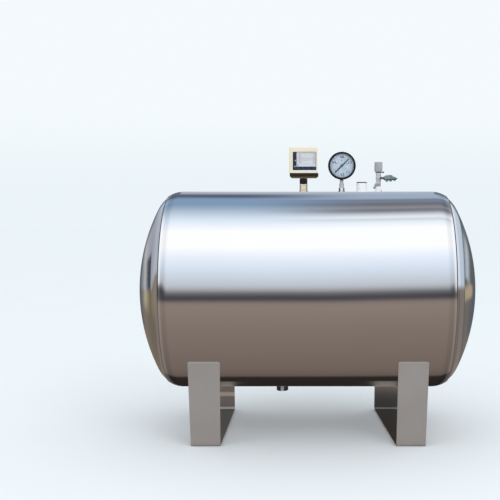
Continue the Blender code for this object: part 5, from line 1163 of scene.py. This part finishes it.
def make_stage():
    """Pale floor, soft light, and a world that a mirror sees as a studio while the camera sees plain pale."""
    x, y = np.meshgrid((-FLOOR_HALF, 0.0, FLOOR_HALF), (-FLOOR_HALF, 0.0, FLOOR_HALF), indexing="ij")
    floor_mesh = bpy.data.meshes.new("floor")
    points = np.stack([x, y, 0 * x], axis=-1).reshape(-1, 3)
    quads = [[k, k + 3, k + 4, k + 1] for k in (0, 1, 3, 4)]
    floor_mesh.from_pydata(points.tolist(), [], quads)
    floor = added("floor", floor_mesh)
    floor.visible_glossy = False
    look = Finish("pale_floor", (0.90, 0.945, 0.965), 0.9)
    look.shader.inputs["Specular IOR Level"].default_value = 0.0
    floor_mesh.materials.append(look.mottled(3.0, 0.01, 0.02, 0.00001))

    world = bpy.data.worlds.new("studio")
    bpy.context.scene.world = world
    world.use_nodes = True
    sky = Paint(world.node_tree)
    ground = sky.tree.nodes["Background"]
    dx, dy, dz = sky.place("Generated")

    def tone(color):
        """The colour that the steel has to see to look like the given one."""
        return tuple(c / STEEL_SHARE for c in linear(color))

    def stops(rows, low=-180.0, high=180.0):
        return [((at - low) / (high - low), tone(color)) for at, color in rows]

    # A mirror that faces the half-way direction sends the front's line of sight there. Its height angle,
    # doubled, is the angle of the ray itself round the vessel's axis: 0 level in front, 90 overhead, 180
    # level behind. Its share along the axis grows from 0 on the straight wall to 1 at the middle of a head.
    forward, rise = 0.99415, 0.108  # the front's line of sight
    reach = sky.math("SQRT", 2.0 - (dy * forward - dz * rise) * 2)
    tip = sky.math("ABSOLUTE", dx) / reach
    height = sky.math("ARCTAN2", dz + rise, forward - dy) * (360 / math.pi) - 6.2
    height = height - sky.held(dx - 0.02, 0.0, 0.12) * 25
    side = sky.between(dx, -0.05, 0.05)
    hook = (sky.between(tip, 0.25, 0.48) * sky.between(height, -3.0, 3.0)
            * (1 - sky.between(height, 20.0, 50.0)))
    turn = (height - hook * (8 - side * 5) + 180) / 360
    low_bands = [(-180, "a8a49e"), (-164, "5a5550"), (-155, "221e1e"), (-118.5, "2a2422"), (-115, "62574f"),
                 (-100, "70625a"), (-40, "80726a"), (-14, "8a7c73"), (-9.5, "80746e"),
                 (-6, "464246"), (-2.5, "464448"), (1.5, "6a6b6f"), (5, "a0a0a2"), (9, "bcc0c6"),
                 (27, "d5dfeb"), (42, "e8f0f9"), (54, "ffffff")]
    left = sky.ramp(turn, stops(low_bands + [
        (76, "ffffff"), (92, "dbe7f3"), (104, "b8c8d8"), (112, "9fafc0"), (121, "7c98b4"), (135, "8096b0"),
        (139.5, "677a90"), (143, "4e5868"), (148, "525a6a"), (152.5, "7c8494"), (158, "a2a6b2"),
        (180, "b8bcc6"),
    ]))
    right = sky.ramp(turn, stops(low_bands + [
        (79, "ffffff"), (88.5, "e6eef4"), (92, "c6cdd3"), (95.6, "ecf2f8"), (102, "b4b7bc"),
        (106.3, "74797e"), (109, "6e7178"), (113, "948d96"), (117.5, "72767c"), (122, "666a71"),
        (127, "7a848e"), (131.5, "66758a"), (136, "9aa8be"), (150, "9aa6b6"), (180, "b0b4bc"),
    ]))
    bands = sky.blend(sky.between(dx, -0.07, 0.07), left, right)
    # The shell's rolled ends: a darker stretch, then a lighter one beside the seam.
    bands = sky.blend(sky.within(tip, 0.32, 0.49, 0.06) * 0.14, bands, (0.0, 0.0, 0.0))
    lit = sky.between(height + side * 10, 8.0, 16.0) * (1 - sky.between(height, 85.0, 112.0))
    bands = sky.blend(sky.between(tip, 0.46, 0.54) * (0.06 + lit * 0.5), bands, (1.3, 1.32, 1.34))

    # The heads: seen beside the vessel, in four parts.
    left_high = sky.ramp(tip, stops([
        (0.60, "c4cad0"), (0.66, "a4acb2"), (0.72, "b0b6bc"), (0.80, "9da1ac"), (0.90, "93969e"),
        (0.930, "9a9ca0"), (0.946, "b0aeb0"), (0.958, "8c9094"), (0.970, "6c7278"), (1.0, "5a6067"),
    ], 0.0, 1.0))
    right_high = sky.ramp(tip, stops([
        (0.58, "e0e6ec"), (0.67, "dce2ea"), (0.75, "b8c4d0"), (0.82, "bcc8d4"), (0.872, "acb6c0"),
        (0.900, "545d66"), (0.919, "98a2aa"), (0.930, "b4babf"), (0.940, "909496"), (0.951, "565857"),
        (1.0, "505050"),
    ], 0.0, 1.0))
    left_low = sky.ramp(tip, stops([
        (0.60, "6c6259"), (0.67, "887d71"), (0.76, "84796b"), (0.83, "7e725e"), (0.875, "70634b"),
        (0.920, "7a6d55"), (0.941, "aa9e88"), (0.951, "9e9284"), (0.962, "6c6860"), (1.0, "50565a"),
    ], 0.0, 1.0))
    right_low = sky.ramp(tip, stops([
        (0.58, "6c645c"), (0.63, "7c7268"), (0.67, "685f57"), (0.72, "7c7269"), (0.84, "7c736c"),
        (0.885, "625c58"), (0.925, "6c6660"), (0.945, "605e5c"), (0.97, "58585a"), (1.0, "505050"),
    ], 0.0, 1.0))
    high = sky.blend(side, left_high, right_high)
    low = sky.blend(side, left_low, right_low)
    sand = (1 - side) * (1 - sky.between(height, -46.0, -12.0)) * sky.between(tip, 0.62, 0.76)
    low = sky.blend(sand * 0.9, low, tone("6c6156"))
    raised = height - (1 - sky.between(tip, 0.68, 0.86)) * (1 - side) * 20
    beside = sky.blend(sky.between(raised, 1.0, 10.0), low, high)
    dark_card = sky.within(tip, 0.875, 0.934, 0.010) * sky.within(height, 4.0, 60.0, 7.0) * (1 - side)
    sand_card = sky.within(tip, 0.90, 0.965, 0.012) * sky.within(height, -15.0, 12.0, 5.0) * side
    sand_shade = sky.within(tip, 0.885, 0.935, 0.012) * sky.within(height, 8.0, 20.0, 5.0) * side
    beside = sky.blend(dark_card, beside, tone("3f4347"))
    beside = sky.blend(sand_card, beside, tone("a5967f"))
    beside = sky.blend(sand_shade * 0.8, beside, tone("4a4234"))
    studio = sky.blend(sky.between(tip, 0.585, 0.635), bands, beside)

    # Dark outline: the rays that hardly turn, told from the line of sight to that end of the vessel.
    far = sky.math("ABSOLUTE", dx)
    line = sky.held(dz, -0.16, 0.035)
    graze = sky.math("SQRT", 2.0 - (far * END_SIGHT[0] + dy * END_SIGHT[1] + dz * line) * 2)
    head = sky.between(tip, 0.54, 0.60)
    corner = sky.between(far, 0.138, 0.150) * (1 - sky.between(graze, 0.26, 0.50)) * (1 - head)
    rim = ((corner + (1 - sky.between(graze - side * 0.10, 0.16, 0.34)) * head)
           * sky.between(height, -95.0, -75.0))
    studio = sky.blend(rim * 0.9, studio, linear("5c636a"))
    # The two supports, mirrored in the underside.
    feet = sky.within(dx, -0.0905, -0.0752, 0.0005) + sky.within(dx, 0.0682, 0.0915, 0.0005)
    feet = feet * (1 - sky.between(height, -134.0, -130.0))
    studio = sky.blend(feet, studio, tone("736e66"))

    rays = sky.node("LightPath").outputs
    glossy, camera = Level(sky, rays["Is Glossy Ray"]), Level(sky, rays["Is Camera Ray"])
    pale = sky.blend(sky.between(dz, -0.005, 0.075), FLOOR_FAR, (0.90, 0.955, 0.985))
    seen = sky.blend(camera, (0.92, 0.95, 0.975), pale)
    sky.tree.links.new(sky.blend(glossy, seen, studio), ground.inputs["Color"])
    ground.inputs["Strength"].default_value = 1.0

    for name, place, size, power in (("key", (1.5, -2.6, 2.5), 1.6, 14.0),
                                     ("fill", (-2.2, -1.9, 1.7), 1.8, 4.0)):
        data = bpy.data.lights.new(name, "AREA")
        data.shape = "DISK"
        data.size = size
        data.energy = power
        lamp = added(name, data)
        lamp.location = place
        lamp.rotation_euler = (Vector((0, 0, 0.4)) - Vector(place)).to_track_quat("-Z", "Y").to_euler()
        lamp.visible_glossy = False

    data = bpy.data.cameras.new("camera")
    data.lens = CAMERA_LENS
    data.sensor_width = 36.0
    data.shift_x, data.shift_y = CAMERA_SHIFT
    data.clip_start = 0.01
    camera_object = added("camera", data)
    camera_object.location = CAMERA_PLACE
    aim = Vector((0.0, 0.0, AXIS_Z)) - camera_object.location
    camera_object.rotation_euler = aim.to_track_quat("-Z", "Y").to_euler()
    bpy.context.scene.camera = camera_object
    bpy.context.scene.view_settings.view_transform = "Standard"


make_vessel()
make_supports()
make_sockets()
make_gauge()
make_switch()
make_relief()
dress_inside()
make_stage()
